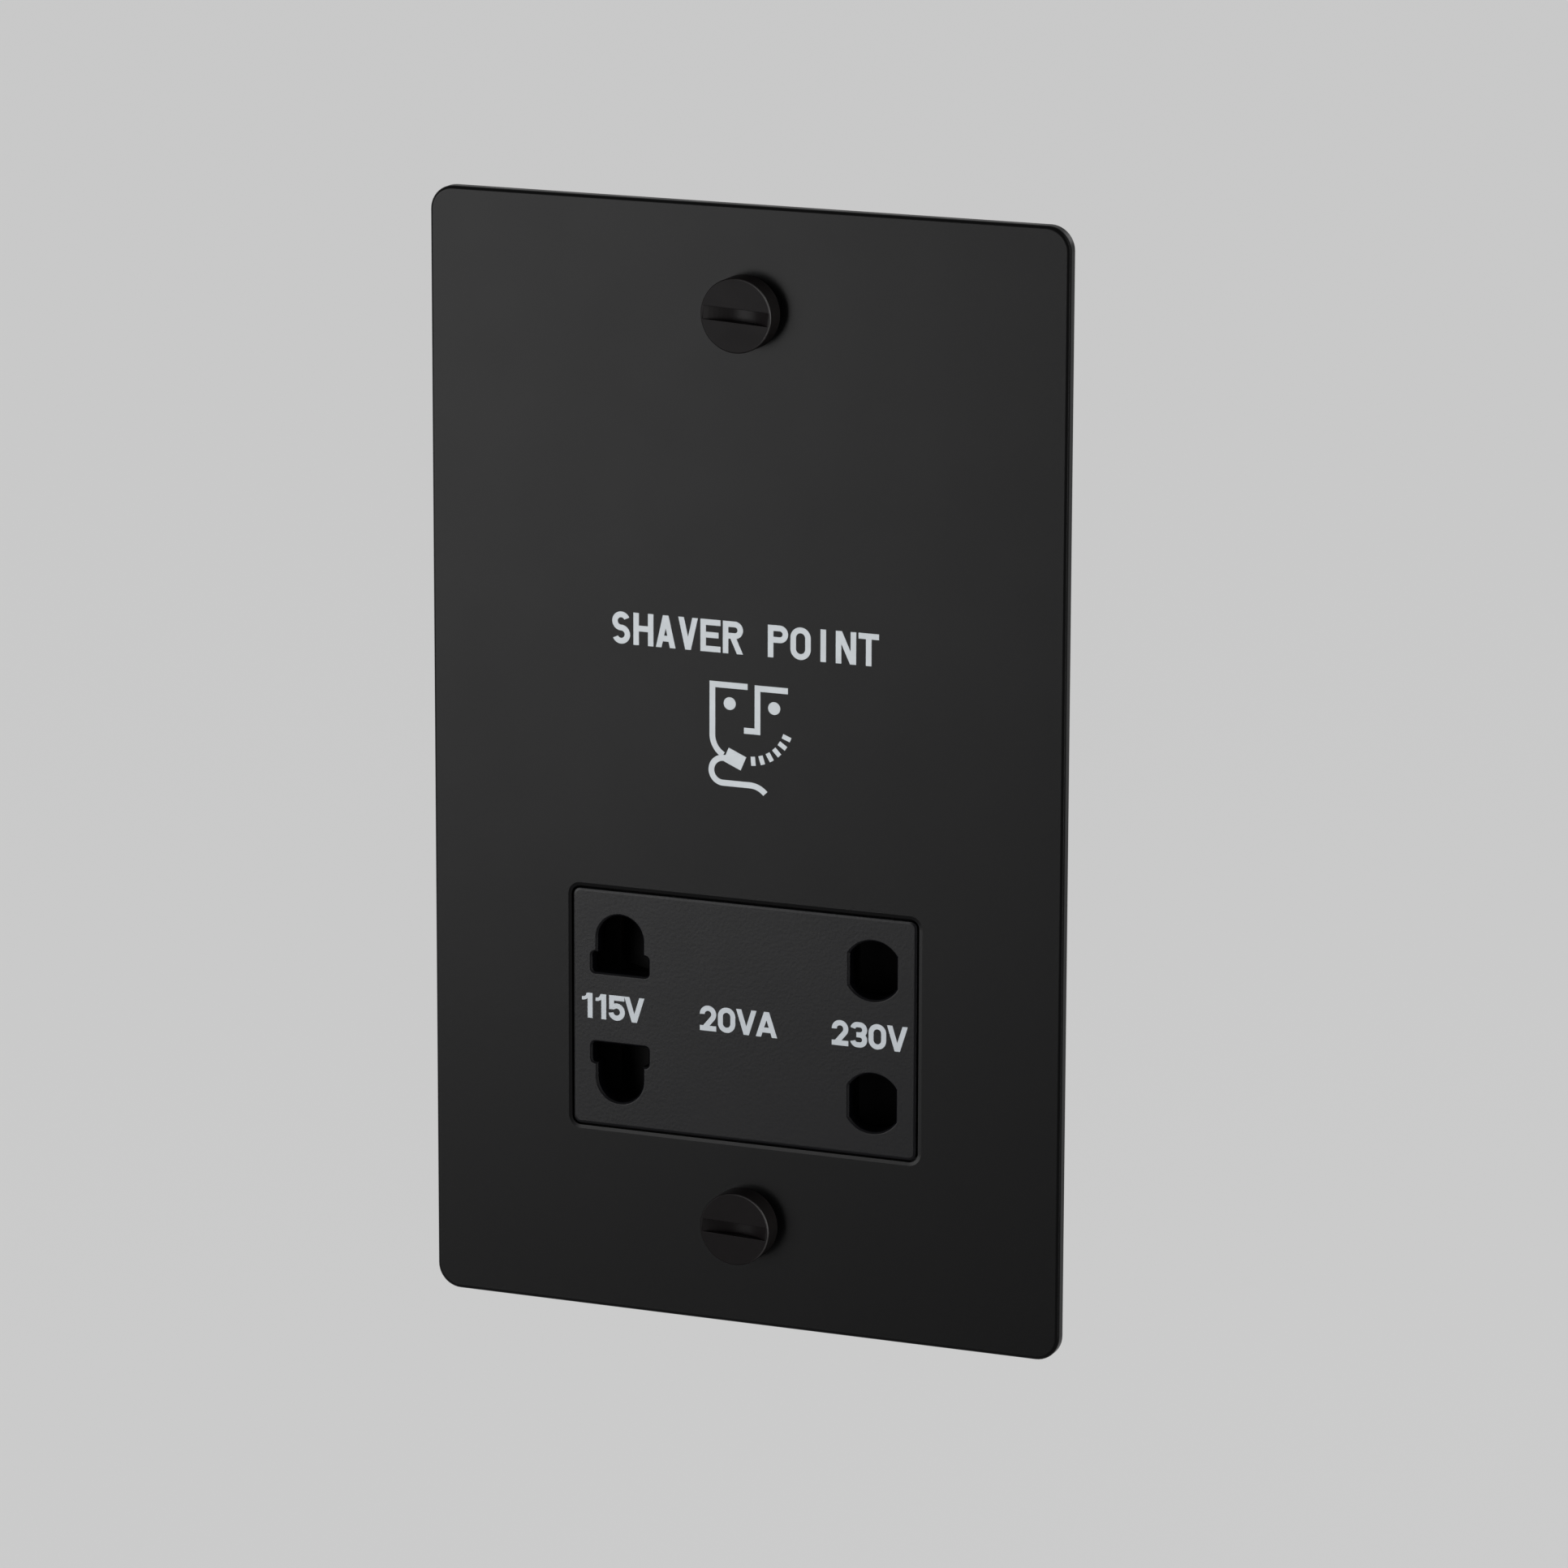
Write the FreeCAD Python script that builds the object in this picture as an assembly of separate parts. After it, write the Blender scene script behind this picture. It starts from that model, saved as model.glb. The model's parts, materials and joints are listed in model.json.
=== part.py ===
"""Dual-voltage shaver socket: a flat metal wall plate with a moulded two-voltage outlet.

Millimetres. Seen on its wall, +X is right and +Z is up, and +Y runs into the wall.
The origin is the middle of the plate's back face, midway between the two fixing screws.
"""

import FreeCAD
import Part

import math
import os

# Front plate
PLATE_WIDTH = 88.0
PLATE_HEIGHT = 148.0
PLATE_THICKNESS = 1.6
PLATE_CORNER = 3.2
PLATE_EDGE = 0.5
PLATE_FRONT = -PLATE_THICKNESS
FIXING_PITCH = 120.6
FIXING_HOLE = 2.3
APERTURE_ROLL = 0.45
APERTURE_ROLL_DEPTH = 0.08
STUD_X = 24.0
STUD_Z = 58.0
STUD_RADIUS = 1.5
STUD_LENGTH = 7.5

# Coin-slot fixing screws
HEAD_RADIUS = 4.85
HEAD_HEIGHT = 3.1
HEAD_EDGE = 0.25
COIN_SLOT_LENGTH = 8.9
COIN_SLOT_WIDTH = 1.75
COIN_SLOT_DEPTH = 1.5
COIN_SLOT_TURNS = {1: 3.0, -1: 2.0}
NECK_RADIUS = 2.0
SHANK_RADIUS = 1.75
SHANK_LENGTH = 23.0

# Socket insert, its boss flush with the plate
INSERT_Z = -33.25
INSERT_WIDTH = 48.15
INSERT_HEIGHT = 31.8
INSERT_GAP = 0.3
INSERT_CORNER = 0.95
INSERT_ROLL = 0.3
INSERT_ROLL_DEPTH = 0.08
INSERT_BORDER = 1.0
INSERT_WALL = 2.6
FLANGE_WIDTH = 57.8
FLANGE_HEIGHT = 36.8
FLANGE_THICKNESS = 2.0
FLANGE_CORNER = 2.0

# Pin holes, with heights measured from the insert's centre line
HOLE_EDGE = 0.25
HOLE_115_X = -17.5
BLADE_SLOT_WIDTH = 8.0
BLADE_SLOT_NEAR = 4.75
BLADE_SLOT_FAR = 7.45
BLADE_SLOT_CORNER = 0.5
ROUND_PIN_WIDTH = 6.4
ROUND_PIN_FAR = 12.6
HOLE_230_X = 18.0
HOLE_230_RISE = 8.84
HOLE_230_RADIUS = 3.875
HOLE_230_FLATS = 6.5

# Shutter chamber behind the insert's front wall
CHAMBER_FRONT = PLATE_FRONT + INSERT_WALL
CHAMBER_BACK = 8.4
CHAMBER_HALF_X = 26.7
CHAMBER_HALF_Z = 13.75
RIM_HALF_X = 27.9
RIM_HALF_Z = 15.3
POST_RADIUS = 2.5
POST_RISE = 9.0
LEDGE_HALF_X = 5.8
LEDGE_RISE = 12.6

# Interlock shutter and its centring spring
SHUTTER_TRAVEL = 6.0
SHUTTER_HALF_X = 20.2
SHUTTER_HALF_Z = 13.4
SHUTTER_FRONT = 6.4
SHUTTER_BACK = 8.0
GUIDE_SLOT_CORNER = 1.0
RUNNING_GAP = 0.3
RAMP_PEAK_Y = 2.6
RAMP_PEAK_X = 14.6
RAMP_END_X = 13.0
RAMP_LIP = 0.4
RAMP_NEAR = 4.6
RAMP_FAR = 13.2
WINDOW_X = 14.0
WINDOW_WIDTH = 9.0
WINDOW_HEIGHT = 6.0
PEG_RADIUS = 2.5
DRIVE_PEG_RADIUS = 2.3
DRIVE_PEG_RISE = 1.5
DRIVE_PEG_FRONT = 4.6
FIXED_PEG_RISE = -3.8
SPRING_FIT = 0.02
SPRING_SHEET = 0.4
SPRING_BAND = 1.0
SPRING_LEG_END = -5.6

# Contact carrier, contacts and cover
CARRIER_BACK = 18.6
CARRIER_CORNER = 1.5
POCKET_HALF_X = 4.1
POCKET_NEAR = 4.6
POCKET_FAR = 12.9
CONTACT_SHEET = 0.5
CONTACT_NEAR = 5.3
CONTACT_FAR = 12.2
CONTACT_TIP_Y = 9.8
CONTACT_TIP_HALF = 3.2
CONTACT_PINCH_Y = 12.6
CONTACT_PINCH_HALF = 2.0
CONTACT_ROOT_HALF = 3.0
TAIL_TOP = -7.5
TAIL_WIDTH = 2.2
COMMON_TAIL_X = 4.4
TAIL_115_X = 1.2
TAIL_230_X = 9.2
ARM_115_NEAR = 12.4
ARM_115_FAR = 14.8
ARM_NEAR = 9.6
COVER_THICKNESS = 1.7
CARRIER_SCREW_RADIUS = 1.45
CARRIER_SCREW_FLATS = 4.1
CARRIER_SCREW_HEAD_HEIGHT = 1.7
CARRIER_SCREW_TIP = 3.0
SPACER_HALF = 2.4

# Rear housing: a shallow lower part for the outlet, a deep upper part for the transformer
HOUSING_HALF_X = 31.0
UPPER_HALF_X = 29.2
HOUSING_HALF_Z = 54.0
HOUSING_STEP_Z = -13.0
LOWER_DEPTH = 25.0
UPPER_DEPTH = 40.0
HOUSING_WALL = 1.8
HOUSING_CORNER = 3.0
HOUSING_EDGE = 1.5
LUG_HALF = 4.0
LUG_CORNER = 2.0
LUG_ROOT_Z = 50.0
LUG_THICKNESS = 3.0
LUG_HOLE = 1.7
CLAMP_RIB_REACH = 1.1
CLAMP_RIB_WIDTH = 3.0
CLAMP_RIB_BACK = 12.0
CLAMP_RIB_HEIGHTS = (-43.0, -24.0)
CORE_RIB_X = (14.0, 18.0)
HOOK_THICKNESS = 2.4
HOOK_LIP = 2.0
HOOK_REACH = 3.0
VENT_COUNT = 5
VENT_PITCH = 5.0
VENT_WIDTH = 2.2
VENT_HEIGHT = 28.0
NUT_ACROSS_FLATS = 5.5
NUT_HEIGHT = 2.4
SHEET_THICKNESS = 0.4
SHEET_BOTTOM = -14.4
SHEET_MARGIN = 0.4

# Isolating transformer: EI laminations with the coil's axis along X
CORE_CENTRE_Y = 20.0
CORE_CENTRE_Z = 22.0
CORE_STACK = 20.0
CORE_LIMB = 16.0
CORE_HALF_X = 2.5 * CORE_LIMB / 2
CORE_HALF_Z = 1.5 * CORE_LIMB
WINDOW_HALF_X = 1.5 * CORE_LIMB / 2
BOBBIN_FIT = 0.02
BOBBIN_WALL = 0.8
BOBBIN_FLANGE = 1.0
BOBBIN_HALF_Y = 17.5
BOBBIN_CORNER = 2.0
WINDING_HALF_Z = 15.2
WINDING_CORNER = 2.5
PRIMARY_HALF_Y = 15.0
SECONDARY_HALF_Y = 16.4
CUTOUT_WIDTH = 8.4
CUTOUT_HEIGHT = 10.0
CUTOUT_DEPTH = 2.4
CUTOUT_EDGE = 0.6

# Strap and screws that hold the transformer's lower end
STRAP_SHEET = 0.8
STRAP_WIDTH = 7.0
STRAP_SIDE_X = 20.8
STRAP_FOOT_X = 27.0
STRAP_RISE = 20.0
PILLAR_X = 24.2
PILLAR_HALF = 3.0
STRAP_SCREW_RADIUS = 1.5
STRAP_SCREW_FLATS = 4.6
STRAP_SCREW_HEAD_HEIGHT = 1.8
STRAP_SCREW_TIP = 37.0

# Supply terminals on the lower part's back
LIVE_X = -12.4
NEUTRAL_X = -2.4
EARTH_X = STUD_X
TERMINAL_HALF_X = 3.8
TERMINAL_TOP = HOUSING_STEP_Z - 0.2
TERMINAL_LENGTH = 10.0
TERMINAL_BACK = 33.0
TERMINAL_BORE = 1.8
TERMINAL_BORE_Y = 29.4
TERMINAL_EDGE = 0.4
TERMINAL_SCREW_RADIUS = 1.5
TERMINAL_SCREW_HEAD = 2.7
TERMINAL_SCREW_HEAD_HEIGHT = 2.2
TERMINAL_SCREW_STANDOFF = 0.4
BAY_WALL = 1.6
BAY_BACK = 34.0
BAY_BOTTOM = -25.0
STRAP_EARTH_WIDTH = 6.0
STRAP_EARTH_SHEET = 0.8
STRAP_EARTH_BEND = 0.7
STRAP_EARTH_END = -61.0
DRIVER_SLOT = 0.7
DRIVER_SLOT_DEPTH = 0.8

# Insulated leads
LEAD_RADIUS = 0.6
LEAD_SIDES = 8
LEAD_BEND = 3.5
LEAD_Y = 31.6
LIVE_LEAD_X = -9.6
NEUTRAL_LEAD_X = NEUTRAL_X
SECONDARY_LEAD_Z = -9.0
LEAD_HOLE_HALF = 0.8

# Fit between a screw and its hole, and how folds and mitres are made
THREAD_FIT = 0.02
SIDES = (-1, 1)
SHARP = 0
MITRED = 1


def vec(x, y, z):
    """Point or direction in the part's frame."""
    return FreeCAD.Vector(x, y, z)


def block(x_range, y_range, z_range):
    """Box between three pairs of limits."""
    (x0, x1), (y0, y1), (z0, z1) = x_range, y_range, z_range
    return Part.makeBox(x1 - x0, y1 - y0, z1 - z0, vec(x0, y0, z0))


def around(centre, half):
    """Pair of limits either side of a centre."""
    return centre - half, centre + half


def rod(radius, y_range, x=0.0, z=0.0):
    """Cylinder along Y."""
    return Part.makeCylinder(radius, y_range[1] - y_range[0], vec(x, y_range[0], z), vec(0, 1, 0))


def edges_along(shape, direction, keep=lambda edge: True):
    """Straight edges that run along a direction."""
    return [
        edge
        for edge in shape.Edges
        if isinstance(edge.Curve, (Part.Line, Part.LineSegment))
        and edge.tangentAt(edge.FirstParameter).cross(direction).Length < 1e-6
        and keep(edge)
    ]


def bevel(shape, direction, size):
    """Cut off the corners along a direction."""
    return shape.makeChamfer(size, edges_along(shape, direction))


def edges_in_plane(shape, y):
    """Edges that lie wholly in one plane across Y."""
    return [
        edge for edge in shape.Edges if abs(edge.BoundBox.YMin - y) + abs(edge.BoundBox.YMax - y) < 1e-4
    ]


def hole_rims(insert):
    """Front edges of the insert's holes: those well inside its outline."""
    return [
        edge
        for edge in edges_in_plane(insert, PLATE_FRONT)
        if abs(edge.CenterOfMass.x) < INSERT_WIDTH / 2 - INSERT_BORDER
        and abs(edge.CenterOfMass.z - INSERT_Z) < INSERT_HEIGHT / 2 - INSERT_BORDER
    ]


def slab(half_x, z_range, y_range, corner):
    """Flat plate with rounded corners, its outline seen along Y."""
    plain = block((-half_x, half_x), y_range, z_range)
    return plain.makeFillet(corner, edges_along(plain, vec(0, 1, 0)))


def bevelled_slab(half_x, z_range, y_range, corner):
    """Flat plate with its corners cut off, its outline seen along Y."""
    return bevel(block((-half_x, half_x), y_range, z_range), vec(0, 1, 0), corner)


def corner_arc(before, corner, after, radius):
    """Start, middle and end of the arc that rounds a corner between two runs."""
    back = (before - corner).normalize()
    ahead = (after - corner).normalize()
    half_angle = back.getAngle(ahead) / 2
    reach = radius / math.tan(half_angle)
    inward = (back + ahead).normalize()
    middle = corner + inward * (radius / math.sin(half_angle) - radius)
    return corner + back * reach, middle, corner + ahead * reach


def rounded_wire(corners, closed=True):
    """Wire of straight runs and tangent arcs through pairs of a point and its radius."""
    points = [point for point, radius in corners]
    last = len(points) - 1
    arcs = []
    for index, (point, radius) in enumerate(corners):
        if radius == 0 or (not closed and index in (0, last)):
            arcs.append((point, None, point))
        else:
            arcs.append(corner_arc(points[index - 1], point, points[(index + 1) % len(points)], radius))
    edges = []
    for index, (start, middle, end) in enumerate(arcs):
        if middle is not None:
            edges.append(Part.Arc(start, middle, end).toShape())
        if closed or index < last:
            next_start = arcs[(index + 1) % len(arcs)][0]
            if end.distanceToPoint(next_start) > 1e-6:
                edges.append(Part.LineSegment(end, next_start).toShape())
    return Part.Wire(edges)


def outline(corners, y_range):
    """Prism along Y from corners given as x, z and radius."""
    wire = rounded_wire([(vec(x, y_range[0], z), radius) for x, z, radius in corners])
    return Part.Face(wire).extrude(vec(0, y_range[1] - y_range[0], 0))


def bent_strip(points, bend, sheet, width_axis, width):
    """Sheet-metal strip of constant thickness folded along a path of points."""
    path = rounded_wire([(point, bend) for point in points], closed=False)
    side = width_axis * (width / 2)
    across = (points[1] - points[0]).cross(width_axis).normalize() * (sheet / 2)
    start = points[0]
    corners = [start - side - across, start + side - across, start + side + across, start - side + across]
    profile = Part.makePolygon(corners + corners[:1])
    return path.makePipeShell([profile], True, False, MITRED)


def wire_along(points):
    """Insulated wire along straight runs across X that meet in mitres."""
    side = vec(1, 0, 0)
    rise = (points[1] - points[0]).cross(side).normalize()
    corners = []
    for index in range(LEAD_SIDES):
        turn = (2 * index + 1) * math.pi / LEAD_SIDES
        corners.append(points[0] + (side * math.cos(turn) + rise * math.sin(turn)) * LEAD_RADIUS)
    profile = Part.makePolygon(corners + corners[:1])
    return Part.makePolygon(points).makePipeShell([profile], True, False, MITRED)


def hexagon(across_flats, y_range, x, z):
    """Hexagonal prism along Y."""
    reach = across_flats / math.sqrt(3)
    turns = [index * math.pi / 3 for index in range(7)]
    points = [vec(x + reach * math.cos(turn), y_range[0], z + reach * math.sin(turn)) for turn in turns]
    return Part.Face(Part.makePolygon(points)).extrude(vec(0, y_range[1] - y_range[0], 0))


def hexagon_screw(radius, tip, seat, across_flats, head_height, x, z):
    """Screw along Y with a hexagon head; the head may point either way along Y."""
    top = seat + math.copysign(head_height, seat - tip)
    head = hexagon(across_flats, sorted((seat, top)), x, z)
    return rod(radius, sorted((tip, seat)), x, z).fuse(head)


def insert_outline(grow, y):
    """Insert's outline at one depth, grown all round."""
    half_x, half_z = INSERT_WIDTH / 2 + grow, INSERT_HEIGHT / 2 + grow
    corners = [(-half_x, -half_z), (half_x, -half_z), (half_x, half_z), (-half_x, half_z)]
    return rounded_wire([(vec(x, y, INSERT_Z + z), INSERT_CORNER + grow) for x, z in corners])


def insert_block(grow, roll, roll_depth):
    """Block with the insert's outline, flared or drawn in by a shallow roll at the plate's front."""
    step = PLATE_FRONT + roll_depth
    rim = Part.makeLoft([insert_outline(grow + roll, PLATE_FRONT), insert_outline(grow, step)], True, True)
    return rim.fuse(Part.Face(insert_outline(grow, step)).extrude(vec(0, -step, 0)))


def front_plate():
    """Flat metal plate with its aperture, two fixing holes and four weld studs on the back."""
    half_x, half_z = PLATE_WIDTH / 2, PLATE_HEIGHT / 2
    plate = slab(half_x, (-half_z, half_z), (PLATE_FRONT, 0), PLATE_CORNER)
    plate = plate.makeFillet(PLATE_EDGE, edges_in_plane(plate, PLATE_FRONT))
    plate = plate.cut(insert_block(INSERT_GAP, APERTURE_ROLL, APERTURE_ROLL_DEPTH))
    for side in SIDES:
        plate = plate.cut(rod(FIXING_HOLE, (PLATE_FRONT, 0), 0, side * FIXING_PITCH / 2))
        for end in SIDES:
            plate = plate.fuse(rod(STUD_RADIUS, (-PLATE_EDGE, STUD_LENGTH), side * STUD_X, end * STUD_Z))
    return plate.removeSplitter()


def coin_slot(top, z, turn):
    """Disc that mills a coin slot with an arched floor, turned a little about the screw's axis."""
    radius = (COIN_SLOT_LENGTH**2 / 4 + COIN_SLOT_DEPTH**2) / (2 * COIN_SLOT_DEPTH)
    foot = vec(0, top + COIN_SLOT_DEPTH - radius, z - COIN_SLOT_WIDTH / 2)
    disc = Part.makeCylinder(radius, COIN_SLOT_WIDTH, foot)
    disc.rotate(vec(0, 0, z), vec(0, 1, 0), turn)
    return disc


def fixing_screws():
    """Two coin-slot screws: a turned head, a neck through the plate and a machine-screw shank."""
    screws = []
    for end in SIDES:
        z = end * FIXING_PITCH / 2
        top = PLATE_FRONT - HEAD_HEIGHT
        head = rod(HEAD_RADIUS, (top, PLATE_FRONT), 0, z)
        head = head.makeChamfer(HEAD_EDGE, edges_in_plane(head, top))
        neck = rod(NECK_RADIUS, (PLATE_FRONT, 0), 0, z)
        shank = rod(SHANK_RADIUS, (0, SHANK_LENGTH), 0, z)
        screws.append(head.cut(coin_slot(top, z, COIN_SLOT_TURNS[end])).fuse([neck, shank]))
    return Part.makeCompound(screws)


def hole_115(side):
    """Cutter for a hole that takes a flat blade or a round pin, above or below the centre line."""
    blade, pin = BLADE_SLOT_WIDTH / 2, ROUND_PIN_WIDTH / 2
    corners = [
        (-blade, BLADE_SLOT_NEAR, BLADE_SLOT_CORNER),
        (blade, BLADE_SLOT_NEAR, BLADE_SLOT_CORNER),
        (blade, BLADE_SLOT_FAR, BLADE_SLOT_CORNER),
        (pin, BLADE_SLOT_FAR, SHARP),
        (pin, ROUND_PIN_FAR, pin),
        (-pin, ROUND_PIN_FAR, pin),
        (-pin, BLADE_SLOT_FAR, SHARP),
        (-blade, BLADE_SLOT_FAR, BLADE_SLOT_CORNER),
    ]
    placed = [(HOLE_115_X + x, INSERT_Z + side * rise, radius) for x, rise, radius in corners]
    return outline(placed, (PLATE_FRONT, CHAMBER_FRONT))


def hole_230(side):
    """Cutter for a round pin hole with two flats."""
    z = INSERT_Z + side * HOLE_230_RISE
    limits = (PLATE_FRONT, CHAMBER_FRONT)
    flats = block(around(HOLE_230_X, HOLE_230_FLATS / 2), limits, around(z, HOLE_230_RADIUS))
    return rod(HOLE_230_RADIUS, limits, HOLE_230_X, z).common(flats)


def chamber(half_x, half_z, y_range):
    """Block around the shutter's space."""
    return block((-half_x, half_x), y_range, around(INSERT_Z, half_z))


def socket_insert():
    """Moulded insert: a boss through the plate, a flange behind it and the shutter's chamber."""
    boss = insert_block(0, -INSERT_ROLL, INSERT_ROLL_DEPTH)
    flange = bevelled_slab(
        FLANGE_WIDTH / 2, around(INSERT_Z, FLANGE_HEIGHT / 2), (0, FLANGE_THICKNESS), FLANGE_CORNER
    )
    rim = chamber(RIM_HALF_X, RIM_HALF_Z, (FLANGE_THICKNESS, CHAMBER_BACK))
    insert = boss.fuse([flange, bevel(rim, vec(0, 1, 0), CARRIER_CORNER)])
    insert = insert.cut(chamber(CHAMBER_HALF_X, CHAMBER_HALF_Z, (CHAMBER_FRONT, CHAMBER_BACK)))
    holes = [hole(side) for hole in (hole_115, hole_230) for side in SIDES]
    insert = insert.cut(holes)
    insert = insert.makeChamfer(HOLE_EDGE, hole_rims(insert))
    details = [rod(PEG_RADIUS, (CHAMBER_FRONT, SHUTTER_FRONT - RUNNING_GAP), 0, INSERT_Z + FIXED_PEG_RISE)]
    for side in SIDES:
        details.append(rod(POST_RADIUS, (CHAMBER_FRONT, CHAMBER_BACK), 0, INSERT_Z + side * POST_RISE))
        ledge = sorted((INSERT_Z + side * LEDGE_RISE, INSERT_Z + side * CHAMBER_HALF_Z))
        details.append(
            block((-LEDGE_HALF_X, LEDGE_HALF_X), (CHAMBER_FRONT, SHUTTER_FRONT - RUNNING_GAP), ledge)
        )
    insert = insert.fuse(details)
    for side in SIDES:
        pilot = rod(
            CARRIER_SCREW_RADIUS + THREAD_FIT,
            (CARRIER_SCREW_TIP - RUNNING_GAP, CHAMBER_BACK),
            0,
            INSERT_Z + side * POST_RISE,
        )
        insert = insert.cut(pilot)
    return insert.removeSplitter()


def interlock_shutter():
    """Sliding plate whose ramps let a plug into one pair of holes and shut the other pair."""
    plate = chamber(SHUTTER_HALF_X, SHUTTER_HALF_Z, (SHUTTER_FRONT, SHUTTER_BACK))
    plate = bevel(plate, vec(0, 1, 0), CARRIER_CORNER / 2)
    slot_half_x = SHUTTER_TRAVEL + POST_RADIUS + RUNNING_GAP
    slot_half_z = POST_RADIUS + RUNNING_GAP
    for side in SIDES:
        guide_slot = bevelled_slab(
            slot_half_x,
            around(INSERT_Z + side * POST_RISE, slot_half_z),
            (SHUTTER_FRONT, SHUTTER_BACK),
            GUIDE_SLOT_CORNER,
        )
        lightening = block(
            around(side * WINDOW_X, WINDOW_WIDTH / 2),
            (SHUTTER_FRONT, SHUTTER_BACK),
            around(INSERT_Z, WINDOW_HEIGHT / 2),
        )
        plate = plate.cut([guide_slot, bevel(lightening, vec(0, 1, 0), CARRIER_CORNER)])
    ramps = []
    for side in SIDES:
        for end in SIDES:
            profile = [
                (side * SHUTTER_HALF_X, SHUTTER_FRONT),
                (side * SHUTTER_HALF_X, SHUTTER_FRONT - RAMP_LIP),
                (side * RAMP_PEAK_X, RAMP_PEAK_Y),
                (side * RAMP_END_X, RAMP_PEAK_Y),
                (side * RAMP_END_X, SHUTTER_FRONT),
            ]
            foot = INSERT_Z + end * RAMP_NEAR
            wire = Part.makePolygon([vec(x, y, foot) for x, y in profile + profile[:1]])
            ramps.append(Part.Face(wire).extrude(vec(0, 0, end * (RAMP_FAR - RAMP_NEAR))))
    peg = rod(DRIVE_PEG_RADIUS, (DRIVE_PEG_FRONT, SHUTTER_FRONT), 0, INSERT_Z + DRIVE_PEG_RISE)
    return plate.fuse(ramps + [peg]).removeSplitter()


def centring_spring():
    """Hairpin of flat spring steel round the upper post, its legs either side of both pegs."""
    top = INSERT_Z + POST_RISE
    foot = INSERT_Z + SPRING_LEG_END
    inner = POST_RADIUS + SPRING_FIT
    outer = inner + SPRING_SHEET
    corners = [
        (-outer, foot, 0),
        (-outer, top + outer, outer),
        (outer, top + outer, outer),
        (outer, foot, 0),
        (inner, foot, 0),
        (inner, top + inner, inner),
        (-inner, top + inner, inner),
        (-inner, foot, 0),
    ]
    back = SHUTTER_FRONT - RUNNING_GAP
    return outline(corners, (back - SPRING_BAND, back))


def contact_pocket(x, side, y_range):
    """Space for one contact clip in the carrier."""
    rises = sorted((INSERT_Z + side * POCKET_NEAR, INSERT_Z + side * POCKET_FAR))
    return block(around(x, POCKET_HALF_X), y_range, rises)


def contact_carrier():
    """Moulded block behind the shutter with a pocket for each pin's contact."""
    limits = (CHAMBER_BACK, CARRIER_BACK)
    carrier = bevel(chamber(RIM_HALF_X, RIM_HALF_Z, limits), vec(0, 1, 0), CARRIER_CORNER)
    cutters = []
    for side in SIDES:
        cutters += [contact_pocket(x, side, limits) for x in (HOLE_115_X, HOLE_230_X)]
        cutters.append(
            rod(CARRIER_SCREW_RADIUS + RUNNING_GAP, limits, 0, INSERT_Z + side * POST_RISE)
        )
    return carrier.cut(cutters)


def contact_clip(x, side):
    """Sprung U-shaped clip that grips one pin from left and right."""
    base = CARRIER_BACK + CONTACT_SHEET / 2
    z = INSERT_Z + side * (CONTACT_NEAR + CONTACT_FAR) / 2
    half = [
        (CONTACT_TIP_HALF, CONTACT_TIP_Y),
        (CONTACT_PINCH_HALF, CONTACT_PINCH_Y),
        (CONTACT_ROOT_HALF, base),
    ]
    left = [vec(x - reach, y, z) for reach, y in half]
    right = [vec(x + reach, y, z) for reach, y in reversed(half)]
    return bent_strip(
        left + right, SHARP, CONTACT_SHEET, vec(0, 0, 1), CONTACT_FAR - CONTACT_NEAR
    )


def contact_sheet(x_range, z_range):
    """Flat stretch of contact metal on the carrier's back."""
    return block(x_range, (CARRIER_BACK, CARRIER_BACK + CONTACT_SHEET), z_range)


def contact_115v():
    """Upper left contact with its arm and solder tail."""
    arm = contact_sheet(
        (HOLE_115_X - CONTACT_PINCH_HALF, TAIL_115_X + TAIL_WIDTH / 2),
        (INSERT_Z + ARM_115_NEAR, INSERT_Z + ARM_115_FAR),
    )
    link = contact_sheet(
        around(HOLE_115_X, CONTACT_PINCH_HALF), (INSERT_Z + CONTACT_NEAR, INSERT_Z + ARM_115_FAR)
    )
    tail = contact_sheet(around(TAIL_115_X, TAIL_WIDTH / 2), (INSERT_Z + ARM_115_NEAR, TAIL_TOP))
    return contact_clip(HOLE_115_X, 1).fuse([arm, link, tail]).removeSplitter()


def contact_230v():
    """Upper right contact with its arm and solder tail."""
    arm = contact_sheet(
        (TAIL_230_X - TAIL_WIDTH / 2, HOLE_230_X), (INSERT_Z + ARM_NEAR, INSERT_Z + CONTACT_FAR)
    )
    tail = contact_sheet(around(TAIL_230_X, TAIL_WIDTH / 2), (INSERT_Z + ARM_NEAR, TAIL_TOP))
    return contact_clip(HOLE_230_X, 1).fuse([arm, tail]).removeSplitter()


def common_contact():
    """Two lower contacts joined by one strip, with a riser to the solder tail."""
    strip = contact_sheet(
        (HOLE_115_X, HOLE_230_X), (INSERT_Z - ARM_115_FAR, INSERT_Z - ARM_115_NEAR)
    )
    links = [
        contact_sheet(
            around(x, CONTACT_PINCH_HALF), (INSERT_Z - ARM_115_FAR, INSERT_Z - CONTACT_NEAR)
        )
        for x in (HOLE_115_X, HOLE_230_X)
    ]
    riser = contact_sheet(around(COMMON_TAIL_X, TAIL_WIDTH / 2), (INSERT_Z - ARM_115_FAR, TAIL_TOP))
    clips = [contact_clip(x, -1) for x in (HOLE_115_X, HOLE_230_X)]
    return clips[0].fuse(clips[1:] + links + [strip, riser]).removeSplitter()


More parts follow.
